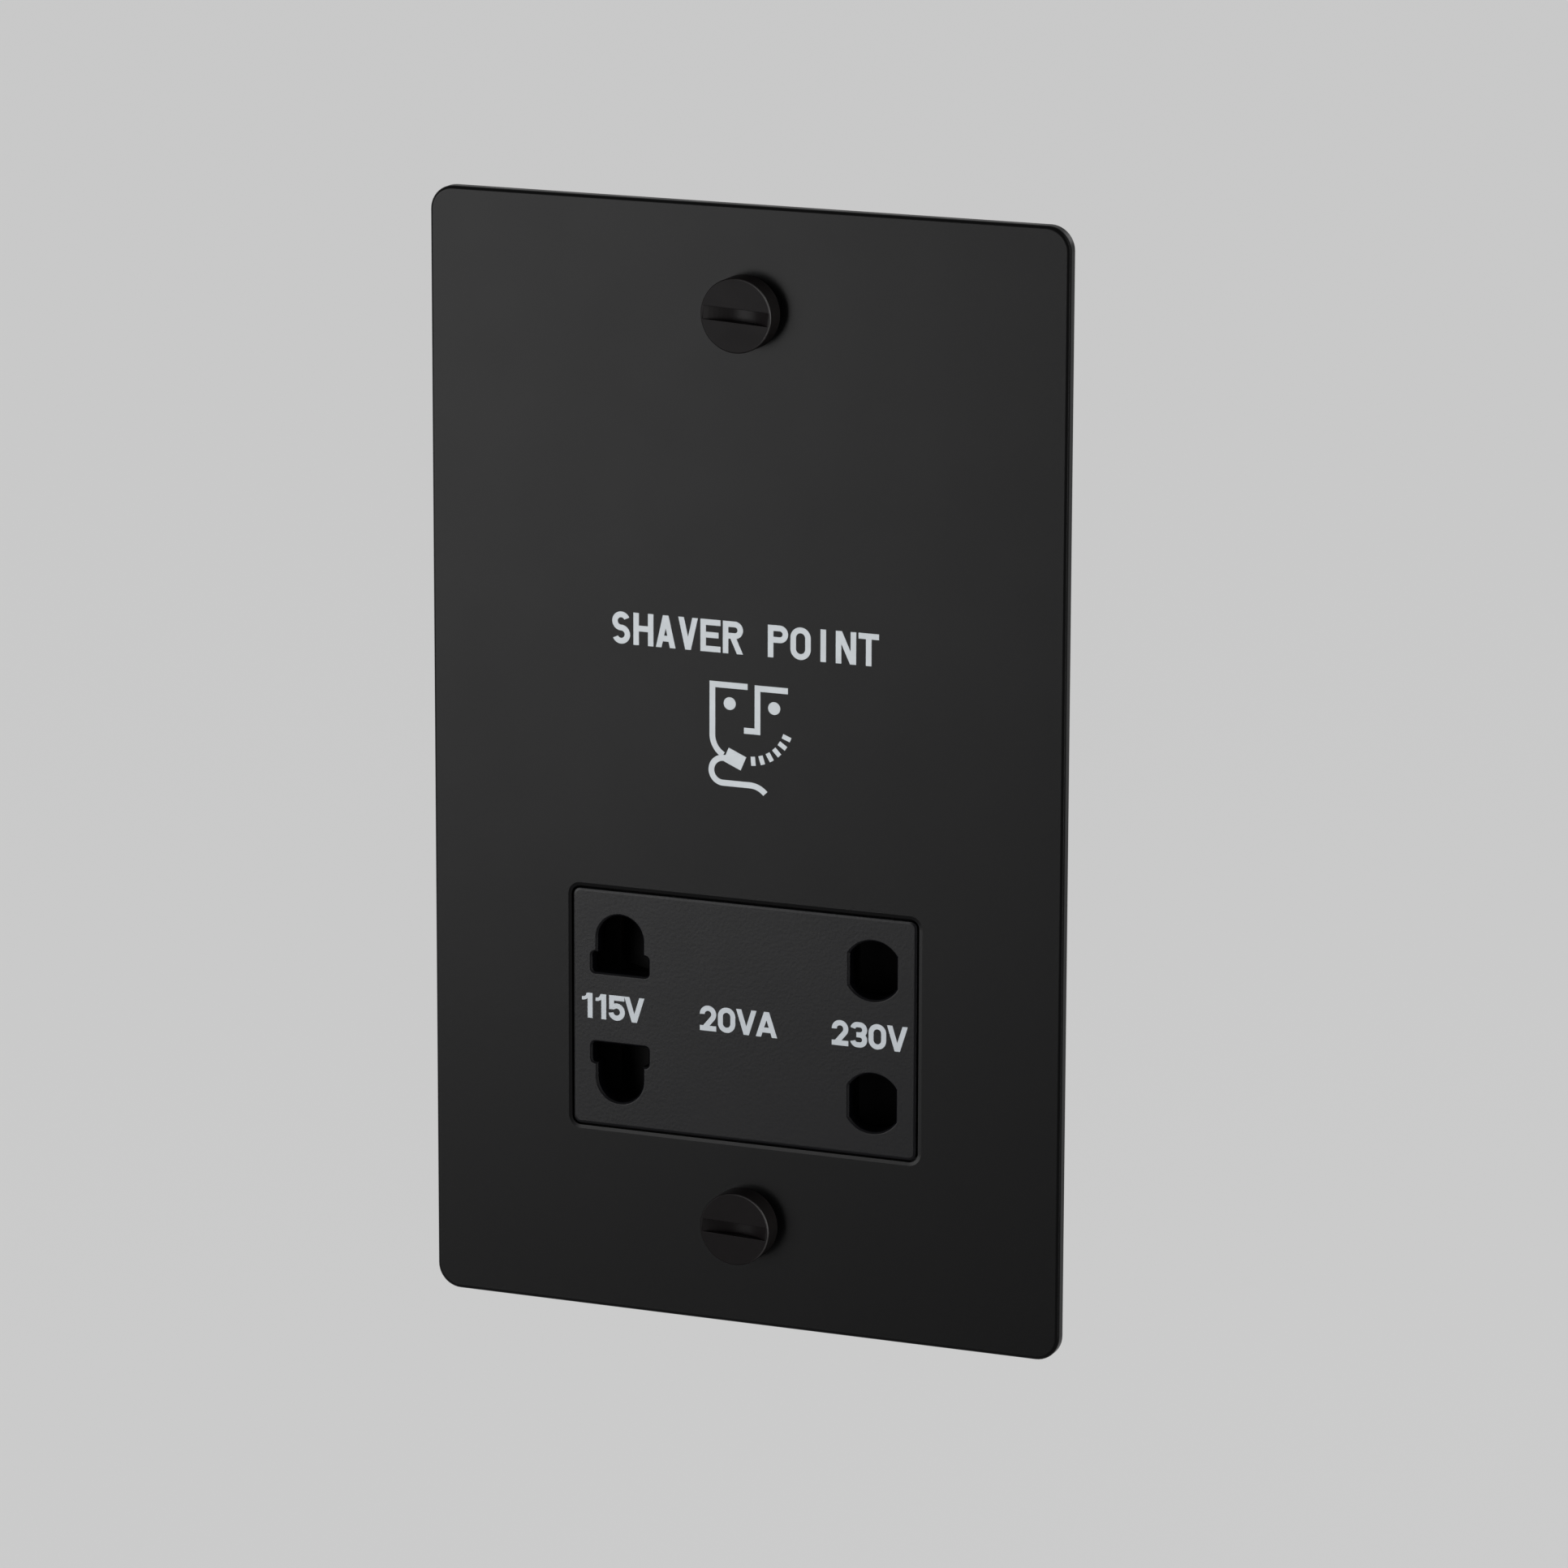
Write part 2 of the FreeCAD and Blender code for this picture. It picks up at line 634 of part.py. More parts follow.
def contact_cover():
    """Plate that shuts the contacts in, with a spacer pad round each of its two screws."""
    front = CARRIER_BACK + CONTACT_SHEET
    cover = chamber(RIM_HALF_X, RIM_HALF_Z, (front, front + COVER_THICKNESS))
    cover = bevel(cover, vec(0, 1, 0), CARRIER_CORNER)
    for side in SIDES:
        z = INSERT_Z + side * POST_RISE
        pad = block(around(0, SPACER_HALF), (CARRIER_BACK, front), around(z, SPACER_HALF))
        cover = cover.fuse(pad)
        hole = rod(CARRIER_SCREW_RADIUS + RUNNING_GAP, (CARRIER_BACK, front + COVER_THICKNESS), 0, z)
        cover = cover.cut(hole)
    return cover.removeSplitter()


def carrier_screws():
    """Two screws that join cover, carrier and insert."""
    seat = CARRIER_BACK + CONTACT_SHEET + COVER_THICKNESS
    return Part.makeCompound(
        [
            hexagon_screw(
                CARRIER_SCREW_RADIUS,
                CARRIER_SCREW_TIP,
                seat,
                CARRIER_SCREW_FLATS,
                CARRIER_SCREW_HEAD_HEIGHT,
                0,
                INSERT_Z + side * POST_RISE,
            )
            for side in SIDES
        ]
    )


def housing_shell():
    """Stepped outside of the housing, with rounded corners and its back edges bevelled."""
    lower = slab(HOUSING_HALF_X, around(0, HOUSING_HALF_Z), (0, LOWER_DEPTH), HOUSING_CORNER)
    upper = block(around(0, UPPER_HALF_X), (0, UPPER_DEPTH), (HOUSING_STEP_Z, HOUSING_HALF_Z))
    top_corners = edges_along(upper, vec(0, 1, 0), lambda edge: edge.CenterOfMass.z > 0)
    upper = upper.makeFillet(HOUSING_CORNER, top_corners)
    lower = lower.makeChamfer(HOUSING_EDGE, edges_in_plane(lower, LOWER_DEPTH))
    upper = upper.makeChamfer(HOUSING_EDGE, edges_in_plane(upper, UPPER_DEPTH))
    return lower.fuse(upper)


def housing_space():
    """Stepped space inside the housing."""
    half_z = HOUSING_HALF_Z - HOUSING_WALL
    corner = HOUSING_CORNER - HOUSING_WALL
    lower = bevelled_slab(
        HOUSING_HALF_X - HOUSING_WALL, around(0, half_z), (0, LOWER_DEPTH - HOUSING_WALL), corner
    )
    upper = bevelled_slab(
        UPPER_HALF_X - HOUSING_WALL,
        (HOUSING_STEP_Z + HOUSING_WALL, half_z),
        (0, UPPER_DEPTH - HOUSING_WALL),
        corner,
    )
    return lower.fuse(upper)


def housing_lug(side, end):
    """Ear that takes one of the plate's weld studs."""
    z_range = sorted((end * LUG_ROOT_Z, end * (STUD_Z + LUG_HALF)))
    ear = block(around(side * STUD_X, LUG_HALF), (0, LUG_THICKNESS), z_range)
    return bevel(ear, vec(0, 1, 0), LUG_CORNER)


def pillar_places():
    """Places of the two pillars under the transformer strap's feet."""
    return [(side * PILLAR_X, CORE_CENTRE_Z - STRAP_RISE) for side in SIDES]


def rear_housing():
    """Moulded housing with lugs, transformer hooks and pillars, vents and terminal bays."""
    lugs = [housing_lug(side, end) for side in SIDES for end in SIDES]
    housing = housing_shell().fuse(lugs).cut(housing_space())
    back = UPPER_DEPTH - HOUSING_WALL
    core_back = CORE_CENTRE_Y + CORE_STACK / 2
    details = []
    for side in SIDES:
        wall = HOUSING_HALF_X - HOUSING_WALL
        clamp_x = sorted((side * wall, side * (wall - CLAMP_RIB_REACH)))
        for z in CLAMP_RIB_HEIGHTS:
            details.append(
                block(clamp_x, (FLANGE_THICKNESS, CLAMP_RIB_BACK), around(z, CLAMP_RIB_WIDTH / 2))
            )
        rib_x = sorted(side * x for x in CORE_RIB_X)
        details.append(block(rib_x, (core_back, back), around(CORE_CENTRE_Z, CORE_HALF_Z - CORE_LIMB / 8)))
        core_top = CORE_CENTRE_Z + CORE_HALF_Z
        lip_front = CORE_CENTRE_Y - CORE_STACK / 2 - HOOK_LIP
        details.append(block(rib_x, (lip_front, back), (core_top, core_top + HOOK_THICKNESS)))
        details.append(block(rib_x, (lip_front, lip_front + HOOK_LIP), (core_top - HOOK_REACH, core_top)))
    for x, z in pillar_places():
        details.append(
            block(around(x, PILLAR_HALF), (core_back + STRAP_SHEET, back), around(z, PILLAR_HALF))
        )
    bay_limits = (LOWER_DEPTH, BAY_BACK), (BAY_BOTTOM, HOUSING_STEP_Z)
    fit = TERMINAL_HALF_X + RUNNING_GAP
    for x_range in (
        (LIVE_X - fit - BAY_WALL, LIVE_X - fit),
        (LIVE_X + fit, NEUTRAL_X - fit),
        (NEUTRAL_X + fit, NEUTRAL_X + fit + BAY_WALL),
    ):
        details.append(block(x_range, *bay_limits))
    housing = housing.fuse(details)
    cutters = [
        rod(LUG_HOLE, (0, LUG_THICKNESS), side * STUD_X, end * STUD_Z) for side in SIDES for end in SIDES
    ]
    cutters += [
        rod(STRAP_SCREW_RADIUS + THREAD_FIT, (core_back, STRAP_SCREW_TIP), x, z) for x, z in pillar_places()
    ]
    for x in (LIVE_LEAD_X, NEUTRAL_LEAD_X):
        step_wall = (HOUSING_STEP_Z, HOUSING_STEP_Z + HOUSING_WALL)
        cutters.append(block(around(x, LEAD_HOLE_HALF), around(LEAD_Y, LEAD_HOLE_HALF), step_wall))
    for index in range(VENT_COUNT):
        x = (index - (VENT_COUNT - 1) / 2) * VENT_PITCH
        vent = block(around(x, VENT_WIDTH / 2), (back, UPPER_DEPTH), around(CORE_CENTRE_Z, VENT_HEIGHT / 2))
        cutters.append(bevel(vent, vec(0, 1, 0), VENT_WIDTH / 4))
    return housing.cut(cutters).removeSplitter()


def stud_nuts():
    """Hexagon nuts on the weld studs; the one over the earth strap sits a sheet higher."""
    nuts = []
    for side in SIDES:
        for end in SIDES:
            over_strap = side > 0 > end
            seat = LUG_THICKNESS + (STRAP_EARTH_SHEET if over_strap else 0)
            place = (seat, seat + NUT_HEIGHT), side * STUD_X, end * STUD_Z
            nuts.append(hexagon(NUT_ACROSS_FLATS, *place).cut(rod(STUD_RADIUS + THREAD_FIT, *place)))
    return Part.makeCompound(nuts)


def insulation_sheet():
    """Insulating sheet between the transformer and the metal plate."""
    edge = HOUSING_WALL + SHEET_MARGIN
    return bevelled_slab(
        HOUSING_HALF_X - edge,
        (SHEET_BOTTOM, HOUSING_HALF_Z - edge),
        (0, SHEET_THICKNESS),
        HOUSING_CORNER - edge + 1,
    )


def coil_block(x_range, half_y, half_z):
    """Block around the coil's axis."""
    return block(x_range, around(CORE_CENTRE_Y, half_y), around(CORE_CENTRE_Z, half_z))


def transformer_core():
    """Stack of E and I laminations with two coil windows."""
    core = coil_block((-CORE_HALF_X, CORE_HALF_X), CORE_STACK / 2, CORE_HALF_Z)
    for side in SIDES:
        centre = CORE_CENTRE_Z + side * 0.75 * CORE_LIMB
        window = block(
            (-WINDOW_HALF_X, WINDOW_HALF_X),
            around(CORE_CENTRE_Y, CORE_STACK / 2),
            around(centre, CORE_LIMB / 4),
        )
        core = core.cut(window)
    return core


def bobbin_tube(x_range, grow):
    """Block round the core's middle limb, with the bobbin's fit or wall added."""
    return coil_block(x_range, CORE_STACK / 2 + grow, CORE_LIMB / 2 + grow)


def coil_bobbin():
    """Two-section bobbin that keeps the windings apart."""
    end = WINDOW_HALF_X - BOBBIN_FIT
    bobbin = bobbin_tube((-end, end), BOBBIN_FIT + BOBBIN_WALL)
    for centre in (-end + BOBBIN_FLANGE / 2, 0, end - BOBBIN_FLANGE / 2):
        flange = coil_block(
            around(centre, BOBBIN_FLANGE / 2), BOBBIN_HALF_Y, CORE_LIMB - BOBBIN_FIT
        )
        bobbin = bobbin.fuse(bevel(flange, vec(1, 0, 0), BOBBIN_CORNER))
    return bobbin.cut(bobbin_tube((-end, end), BOBBIN_FIT)).removeSplitter()


def winding(side, half_y):
    """Taped winding in the bobbin's left or right section."""
    far = WINDOW_HALF_X - BOBBIN_FIT - BOBBIN_FLANGE
    x_range = sorted((side * BOBBIN_FLANGE / 2, side * far))
    coil = coil_block(x_range, half_y, WINDING_HALF_Z)
    coil = bevel(coil, vec(1, 0, 0), WINDING_CORNER)
    return coil.cut(bobbin_tube(x_range, BOBBIN_FIT + BOBBIN_WALL))


def primary_winding():
    """Mains winding."""
    return winding(-1, PRIMARY_HALF_Y)


def secondary_winding():
    """Tapped outlet winding."""
    return winding(1, SECONDARY_HALF_Y)


def thermal_cutout():
    """Self-resetting cut-out bedded on the mains winding."""
    centre_x = -(WINDOW_HALF_X - BOBBIN_FIT - BOBBIN_FLANGE / 2) / 2
    front = CORE_CENTRE_Y + PRIMARY_HALF_Y
    case = block(
        around(centre_x, CUTOUT_WIDTH / 2),
        (front, front + CUTOUT_DEPTH),
        around(CORE_CENTRE_Z, CUTOUT_HEIGHT / 2),
    )
    return case.makeChamfer(CUTOUT_EDGE, edges_in_plane(case, front + CUTOUT_DEPTH))


def core_strap():
    """Steel strap over the core's bottom limb, with a foot on a pillar at each side."""
    z = CORE_CENTRE_Z - STRAP_RISE
    foot_y = CORE_CENTRE_Y + CORE_STACK / 2 + STRAP_SHEET / 2
    front_y = CORE_CENTRE_Y - CORE_STACK / 2 - STRAP_SHEET / 2
    half = [(STRAP_FOOT_X, foot_y), (STRAP_SIDE_X, foot_y), (STRAP_SIDE_X, front_y)]
    points = [vec(-x, y, z) for x, y in half] + [vec(x, y, z) for x, y in reversed(half)]
    strap = bent_strip(points, SHARP, STRAP_SHEET, vec(0, 0, 1), STRAP_WIDTH)
    hole_span = around(foot_y, STRAP_SHEET)
    holes = [rod(LUG_HOLE, hole_span, side * PILLAR_X, z) for side in SIDES]
    return strap.cut(holes)


def strap_screws():
    """Two screws that hold the strap's feet to the housing's pillars."""
    seat = CORE_CENTRE_Y + CORE_STACK / 2
    return Part.makeCompound(
        [
            hexagon_screw(
                STRAP_SCREW_RADIUS, STRAP_SCREW_TIP, seat, STRAP_SCREW_FLATS, STRAP_SCREW_HEAD_HEIGHT, x, z
            )
            for x, z in pillar_places()
        ]
    )


def terminal(x, seat):
    """Brass tunnel terminal with a bore for the supply wire and a tapped hole for its screw."""
    z_range = (TERMINAL_TOP - TERMINAL_LENGTH, TERMINAL_TOP)
    body = block(around(x, TERMINAL_HALF_X), (seat, TERMINAL_BACK), z_range)
    body = bevel(body, vec(0, 0, 1), TERMINAL_EDGE)
    bore = Part.makeCylinder(TERMINAL_BORE, TERMINAL_LENGTH, vec(x, TERMINAL_BORE_Y, z_range[0]))
    tapped = rod(
        TERMINAL_SCREW_RADIUS + THREAD_FIT, (TERMINAL_BORE_Y, TERMINAL_BACK), x, sum(z_range) / 2
    )
    return body.cut([bore, tapped])


def live_terminal():
    """Live supply terminal."""
    return terminal(LIVE_X, LOWER_DEPTH)


def neutral_terminal():
    """Neutral supply terminal."""
    return terminal(NEUTRAL_X, LOWER_DEPTH)


def earth_terminal():
    """Earth terminal, seated on the earth strap."""
    return terminal(EARTH_X, LOWER_DEPTH + STRAP_EARTH_SHEET)


def terminal_screws():
    """Three slotted clamping screws, backed off clear of the wire bores."""
    tip = TERMINAL_BORE_Y + TERMINAL_BORE + RUNNING_GAP
    seat = TERMINAL_BACK + TERMINAL_SCREW_STANDOFF
    top = seat + TERMINAL_SCREW_HEAD_HEIGHT
    z = TERMINAL_TOP - TERMINAL_LENGTH / 2
    screws = []
    for x in (LIVE_X, NEUTRAL_X, EARTH_X):
        head = rod(TERMINAL_SCREW_HEAD, (seat, top), x, z)
        groove = block(
            around(x, TERMINAL_SCREW_HEAD), (top - DRIVER_SLOT_DEPTH, top), around(z, DRIVER_SLOT / 2)
        )
        screws.append(head.cut(groove).fuse(rod(TERMINAL_SCREW_RADIUS, (tip, seat), x, z)))
    return Part.makeCompound(screws)


def earth_strap():
    """Strip from the earth terminal round the housing's foot to a weld stud on the plate."""
    half = STRAP_EARTH_SHEET / 2
    points = [
        vec(EARTH_X, LOWER_DEPTH + half, TERMINAL_TOP),
        vec(EARTH_X, LOWER_DEPTH + half, -HOUSING_HALF_Z - half),
        vec(EARTH_X, LUG_THICKNESS + half, -HOUSING_HALF_Z - half),
        vec(EARTH_X, LUG_THICKNESS + half, STRAP_EARTH_END),
    ]
    strap = bent_strip(points, STRAP_EARTH_BEND, STRAP_EARTH_SHEET, vec(1, 0, 0), STRAP_EARTH_WIDTH)
    hole = rod(LUG_HOLE, (LUG_THICKNESS, LUG_THICKNESS + STRAP_EARTH_SHEET), STUD_X, -STUD_Z)
    return strap.cut(hole)


def supply_lead(x):
    """Lead from a supply terminal up to the mains winding."""
    return wire_along([vec(x, LEAD_Y, TERMINAL_TOP), vec(x, LEAD_Y, CORE_CENTRE_Z - WINDING_HALF_Z)])


def live_lead():
    """Lead from the live terminal."""
    return supply_lead(LIVE_LEAD_X)


def neutral_lead():
    """Lead from the neutral terminal."""
    return supply_lead(NEUTRAL_LEAD_X)


def outlet_lead(x):
    """Lead from a contact's solder tail up to the outlet winding."""
    points = [
        vec(x, CARRIER_BACK + CONTACT_SHEET, SECONDARY_LEAD_Z),
        vec(x, LEAD_Y - LEAD_BEND, SECONDARY_LEAD_Z),
        vec(x, LEAD_Y, SECONDARY_LEAD_Z + LEAD_BEND),
        vec(x, LEAD_Y, CORE_CENTRE_Z - WINDING_HALF_Z),
    ]
    return wire_along(points)


def lead_115v():
    """Lead to the 115 V contact."""
    return outlet_lead(TAIL_115_X)


def lead_230v():
    """Lead to the 230 V contact."""
    return outlet_lead(TAIL_230_X)


def lead_common():
    """Lead to the common contact."""
    return outlet_lead(COMMON_TAIL_X)


PIECES = (
    front_plate,
    fixing_screws,
    socket_insert,
    interlock_shutter,
    centring_spring,
    contact_carrier,
    contact_115v,
    contact_230v,
    common_contact,
    contact_cover,
    carrier_screws,
    rear_housing,
    stud_nuts,
    insulation_sheet,
    transformer_core,
    coil_bobbin,
    primary_winding,
    secondary_winding,
    thermal_cutout,
    core_strap,
    strap_screws,
    live_terminal,
    neutral_terminal,
    earth_terminal,
    terminal_screws,
    earth_strap,
    live_lead,
    neutral_lead,
    lead_115v,
    lead_230v,
    lead_common,
)


def main():
    """Build each piece and write it to its own STEP file."""
    os.makedirs("parts", exist_ok=True)
    for build in PIECES:
        shape = build()
        if not shape.isValid() or not shape.Solids:
            raise ValueError(f"{build.__name__} isn't a valid solid")
        shape.exportStep(f"parts/{build.__name__}.step")


main()
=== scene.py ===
"""Looks of a dual-voltage shaver socket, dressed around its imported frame.

Metres, in the frame's own axes: +X is right, +Y runs into the wall and +Z is up. The origin
is the middle of the plate's back face, midway between the two fixing screws.
"""

import json
import logging
import math
from dataclasses import dataclass, field
from enum import Enum
from typing import Iterable

import bmesh
import bpy
from mathutils import Matrix, Vector


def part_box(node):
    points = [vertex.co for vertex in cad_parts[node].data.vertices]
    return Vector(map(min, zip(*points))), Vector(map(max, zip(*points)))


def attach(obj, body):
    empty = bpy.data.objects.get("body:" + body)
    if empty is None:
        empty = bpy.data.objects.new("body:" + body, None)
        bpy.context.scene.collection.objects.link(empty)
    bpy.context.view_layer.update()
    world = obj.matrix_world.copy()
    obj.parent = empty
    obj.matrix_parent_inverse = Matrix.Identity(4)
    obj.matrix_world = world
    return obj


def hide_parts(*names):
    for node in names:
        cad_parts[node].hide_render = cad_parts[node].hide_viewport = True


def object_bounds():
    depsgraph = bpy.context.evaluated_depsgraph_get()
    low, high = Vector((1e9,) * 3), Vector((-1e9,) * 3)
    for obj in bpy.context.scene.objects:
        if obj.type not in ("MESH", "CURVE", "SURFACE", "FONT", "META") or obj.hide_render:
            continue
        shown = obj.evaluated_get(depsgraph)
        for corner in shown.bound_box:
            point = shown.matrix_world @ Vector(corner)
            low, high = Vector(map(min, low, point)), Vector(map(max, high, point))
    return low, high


Pair = tuple[float, float]
Triple = tuple[float, float, float]
Socket = bpy.types.NodeSocket
BMesh = bmesh.types.BMesh
BMVert = bmesh.types.BMVert
BMEdge = bmesh.types.BMEdge
BMFace = bmesh.types.BMFace
MeshPart = BMVert | BMEdge | BMFace

LOG = logging.getLogger("shaver_socket")
MM = 0.001
UNIT = "unit"
SMOOTH_ANGLE = math.radians(35)
FRONT_TURN = Matrix.Rotation(math.pi / 2, 4, "X")
# How close two places are to count as one: to merge them, to find them and to cut at them
SAME_SPOT, NEARBY, CUT_SNAP = 1e-7, 1e-6, 1e-8

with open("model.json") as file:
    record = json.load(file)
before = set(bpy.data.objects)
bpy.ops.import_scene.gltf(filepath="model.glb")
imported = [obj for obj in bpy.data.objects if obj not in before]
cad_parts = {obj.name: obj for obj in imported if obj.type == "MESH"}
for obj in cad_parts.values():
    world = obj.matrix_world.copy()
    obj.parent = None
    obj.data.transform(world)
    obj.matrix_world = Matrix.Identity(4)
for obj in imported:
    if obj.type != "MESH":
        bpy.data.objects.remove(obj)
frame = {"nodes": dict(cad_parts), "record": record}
CAD_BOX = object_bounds()


class Effect(Enum):
    """Surface effects that several finishes share."""

    GRAIN = "moulded_grain"
    STREAKS = "drawn_streaks"
    BANDS = "stacked_bands"


class Graph:
    """Node tree with short calls to add nodes and join them."""

    def __init__(self, tree: bpy.types.NodeTree) -> None:
        """Wrap a tree, which starts empty."""
        self.tree = tree
        self.tree.nodes.clear()

    def add(self, kind: str, inputs: dict | None = None, **settings: object) -> bpy.types.Node:
        """Add a node.

        Args:
            kind: Blender's name for the node type.
            inputs: Outputs or plain values that feed its inputs, by name or by number.
            settings: The node's own properties.

        Returns:
            The new node.
        """
        node = self.tree.nodes.new(kind)
        for name, value in settings.items():
            setattr(node, name, value)
        for key, value in (inputs or {}).items():
            self.feed(node.inputs[key], value)
        return node

    def feed(self, target: Socket, value: object) -> None:
        """Join an input to an output, or set it to a plain value.

        Args:
            target: The input.
            value: The output or the value.
        """
        if isinstance(value, Socket):
            self.tree.links.new(value, target)
        else:
            target.default_value = value

    def math(self, operation: str, *values: object, clamp: bool = False) -> Socket:
        """Add a Math node on outputs or plain numbers, whose result may be kept between 0 and 1."""
        inputs = dict(enumerate(values))
        return self.add("ShaderNodeMath", inputs, operation=operation, use_clamp=clamp).outputs[0]

    def vector(self, operation: str, *values: Socket) -> bpy.types.NodeOutputs:
        """Add a Vector Math node, and give its outputs."""
        return self.add("ShaderNodeVectorMath", dict(enumerate(values)), operation=operation).outputs

    def blend(self, mask: Socket, first: object, second: object, kind: str = "FLOAT") -> Socket:
        """Mix two values of one kind: the first where the mask is 0, the second where it is 1."""
        inputs = {"Factor": mask, "A": first, "B": second}
        return self.add("ShaderNodeMix", inputs, data_type=kind).outputs["Result"]

    def tint(self, mask: Socket, *colors: object) -> Socket:
        """Mix two colours, which are outputs or plain triples, by a mask."""
        first, second = ((*color, 1.0) if isinstance(color, tuple) else color for color in colors)
        return self.blend(mask, first, second, "RGBA")

    def noise(self, vector: Socket, scale: object, detail: float, core: Pair = (0.3, 0.7)) -> Socket:
        """Add a noise texture.

        Args:
            vector: Coordinates.
            scale: Features per metre.
            detail: Octaves of finer noise.
            core: Range of the noise that is spread out from 0 to 1.

        Returns:
            The noise, kept between 0 and 1.
        """
        inputs = {"Vector": vector, "Scale": scale, "Detail": detail}
        plain = self.add("ShaderNodeTexNoise", inputs).outputs["Fac"]
        inputs = {"Value": plain, "From Min": core[0], "From Max": core[1]}
        return self.add("ShaderNodeMapRange", inputs).outputs["Result"]


class EffectShop:
    """Shader node groups for the shared effects, each built once."""

    STREAK_CORE: Pair = (0.35, 0.7)
    HALF_BAND = 0.5

    def __init__(self) -> None:
        """Build all groups."""
        self.groups: dict[Effect, bpy.types.NodeTree] = {}
        self._build_grain()
        self._build_streaks()
        self._build_bands()

    def _open(self, effect: Effect, inputs: dict[str, str], *outputs: str) -> tuple[Graph, dict, dict]:
        """Start a group that takes coordinates.

        Args:
            effect: Whose group it is.
            inputs: Types of its other inputs, by name.
            outputs: Names of its value outputs.

        Returns:
            The group's graph, its inputs and its outputs, by name.
        """
        tree = self.groups[effect] = bpy.data.node_groups.new(effect.value, "ShaderNodeTree")
        inputs = {"Vector": "Vector", **inputs}
        for label, kind in inputs.items():
            tree.interface.new_socket(label, in_out="INPUT", socket_type=f"NodeSocket{kind}")
        for label in outputs:
            tree.interface.new_socket(label, in_out="OUTPUT", socket_type="NodeSocketFloat")
        graph = Graph(tree)
        given = graph.add("NodeGroupInput").outputs
        wanted = graph.add("NodeGroupOutput").inputs
        return graph, {label: given[label] for label in inputs}, {label: wanted[label] for label in outputs}

    def _build_grain(self) -> None:
        """Fine pitted grain, and the slow mottle of a moulded or sprayed surface."""
        sockets = {"Fine": "Float", "Slow": "Float"}
        graph, given, wanted = self._open(Effect.GRAIN, sockets, "Height", "Mottle")
        graph.feed(wanted["Height"], graph.noise(given["Vector"], given["Fine"], detail=2.0))
        graph.feed(wanted["Mottle"], graph.noise(given["Vector"], given["Slow"], detail=3.0))

    def _build_streaks(self) -> None:
        """Lines drawn out along one axis, as rolling or brushing leaves in metal."""
        sockets = {"Stretch": "Vector", "Slow": "Float"}
        graph, given, wanted = self._open(Effect.STREAKS, sockets, "Height", "Mottle")
        stretched = graph.vector("MULTIPLY", given["Vector"], given["Stretch"])["Vector"]
        slow = graph.noise(given["Vector"], given["Slow"], detail=3.0, core=self.STREAK_CORE)
        graph.feed(wanted["Height"], graph.noise(stretched, 1.0, detail=4.0))
        graph.feed(wanted["Mottle"], slow)

    def _build_bands(self) -> None:
        """Even bands along one axis, as in stacked sheets, wound tape or a thread."""
        sockets = {"Axis": "Vector", "Groove": "Float"}
        graph, given, wanted = self._open(Effect.BANDS, sockets, "Height")
        along = graph.vector("DOT_PRODUCT", given["Vector"], given["Axis"])["Value"]
        wave = graph.math("PINGPONG", along, self.HALF_BAND)
        graph.feed(wanted["Height"], graph.math("DIVIDE", wave, given["Groove"], clamp=True))


class Bench(Graph):
    """Material's graph, with its shader, object coordinates and the shared effects."""

    def __init__(self, material: bpy.types.Material, shop: EffectShop) -> None:
        """Start a material.

        Args:
            material: The material, which has no nodes yet.
            shop: Where the shared effects are.
        """
        material.use_nodes = True
        super().__init__(material.node_tree)
        self.shop = shop
        self.place = self.add("ShaderNodeTexCoord").outputs["Object"]
        self.shader = self.add("ShaderNodeBsdfPrincipled")
        self.add("ShaderNodeOutputMaterial", {"Surface": self.shader.outputs["BSDF"]})

    def effect(self, effect: Effect, **inputs: object) -> bpy.types.NodeOutputs:
        """Add a shared effect on the object coordinates, and give its outputs."""
        group = self.shop.groups[effect]
        return self.add("ShaderNodeGroup", {"Vector": self.place, **inputs}, node_tree=group).outputs

    def put(self, name: str, value: object) -> None:
        """Feed one of the shader's inputs."""
        self.feed(self.shader.inputs[name], value)

    def given(self, name: str) -> Socket:
        """Give the output that feeds one of the shader's inputs."""
        return self.shader.inputs[name].links[0].from_socket


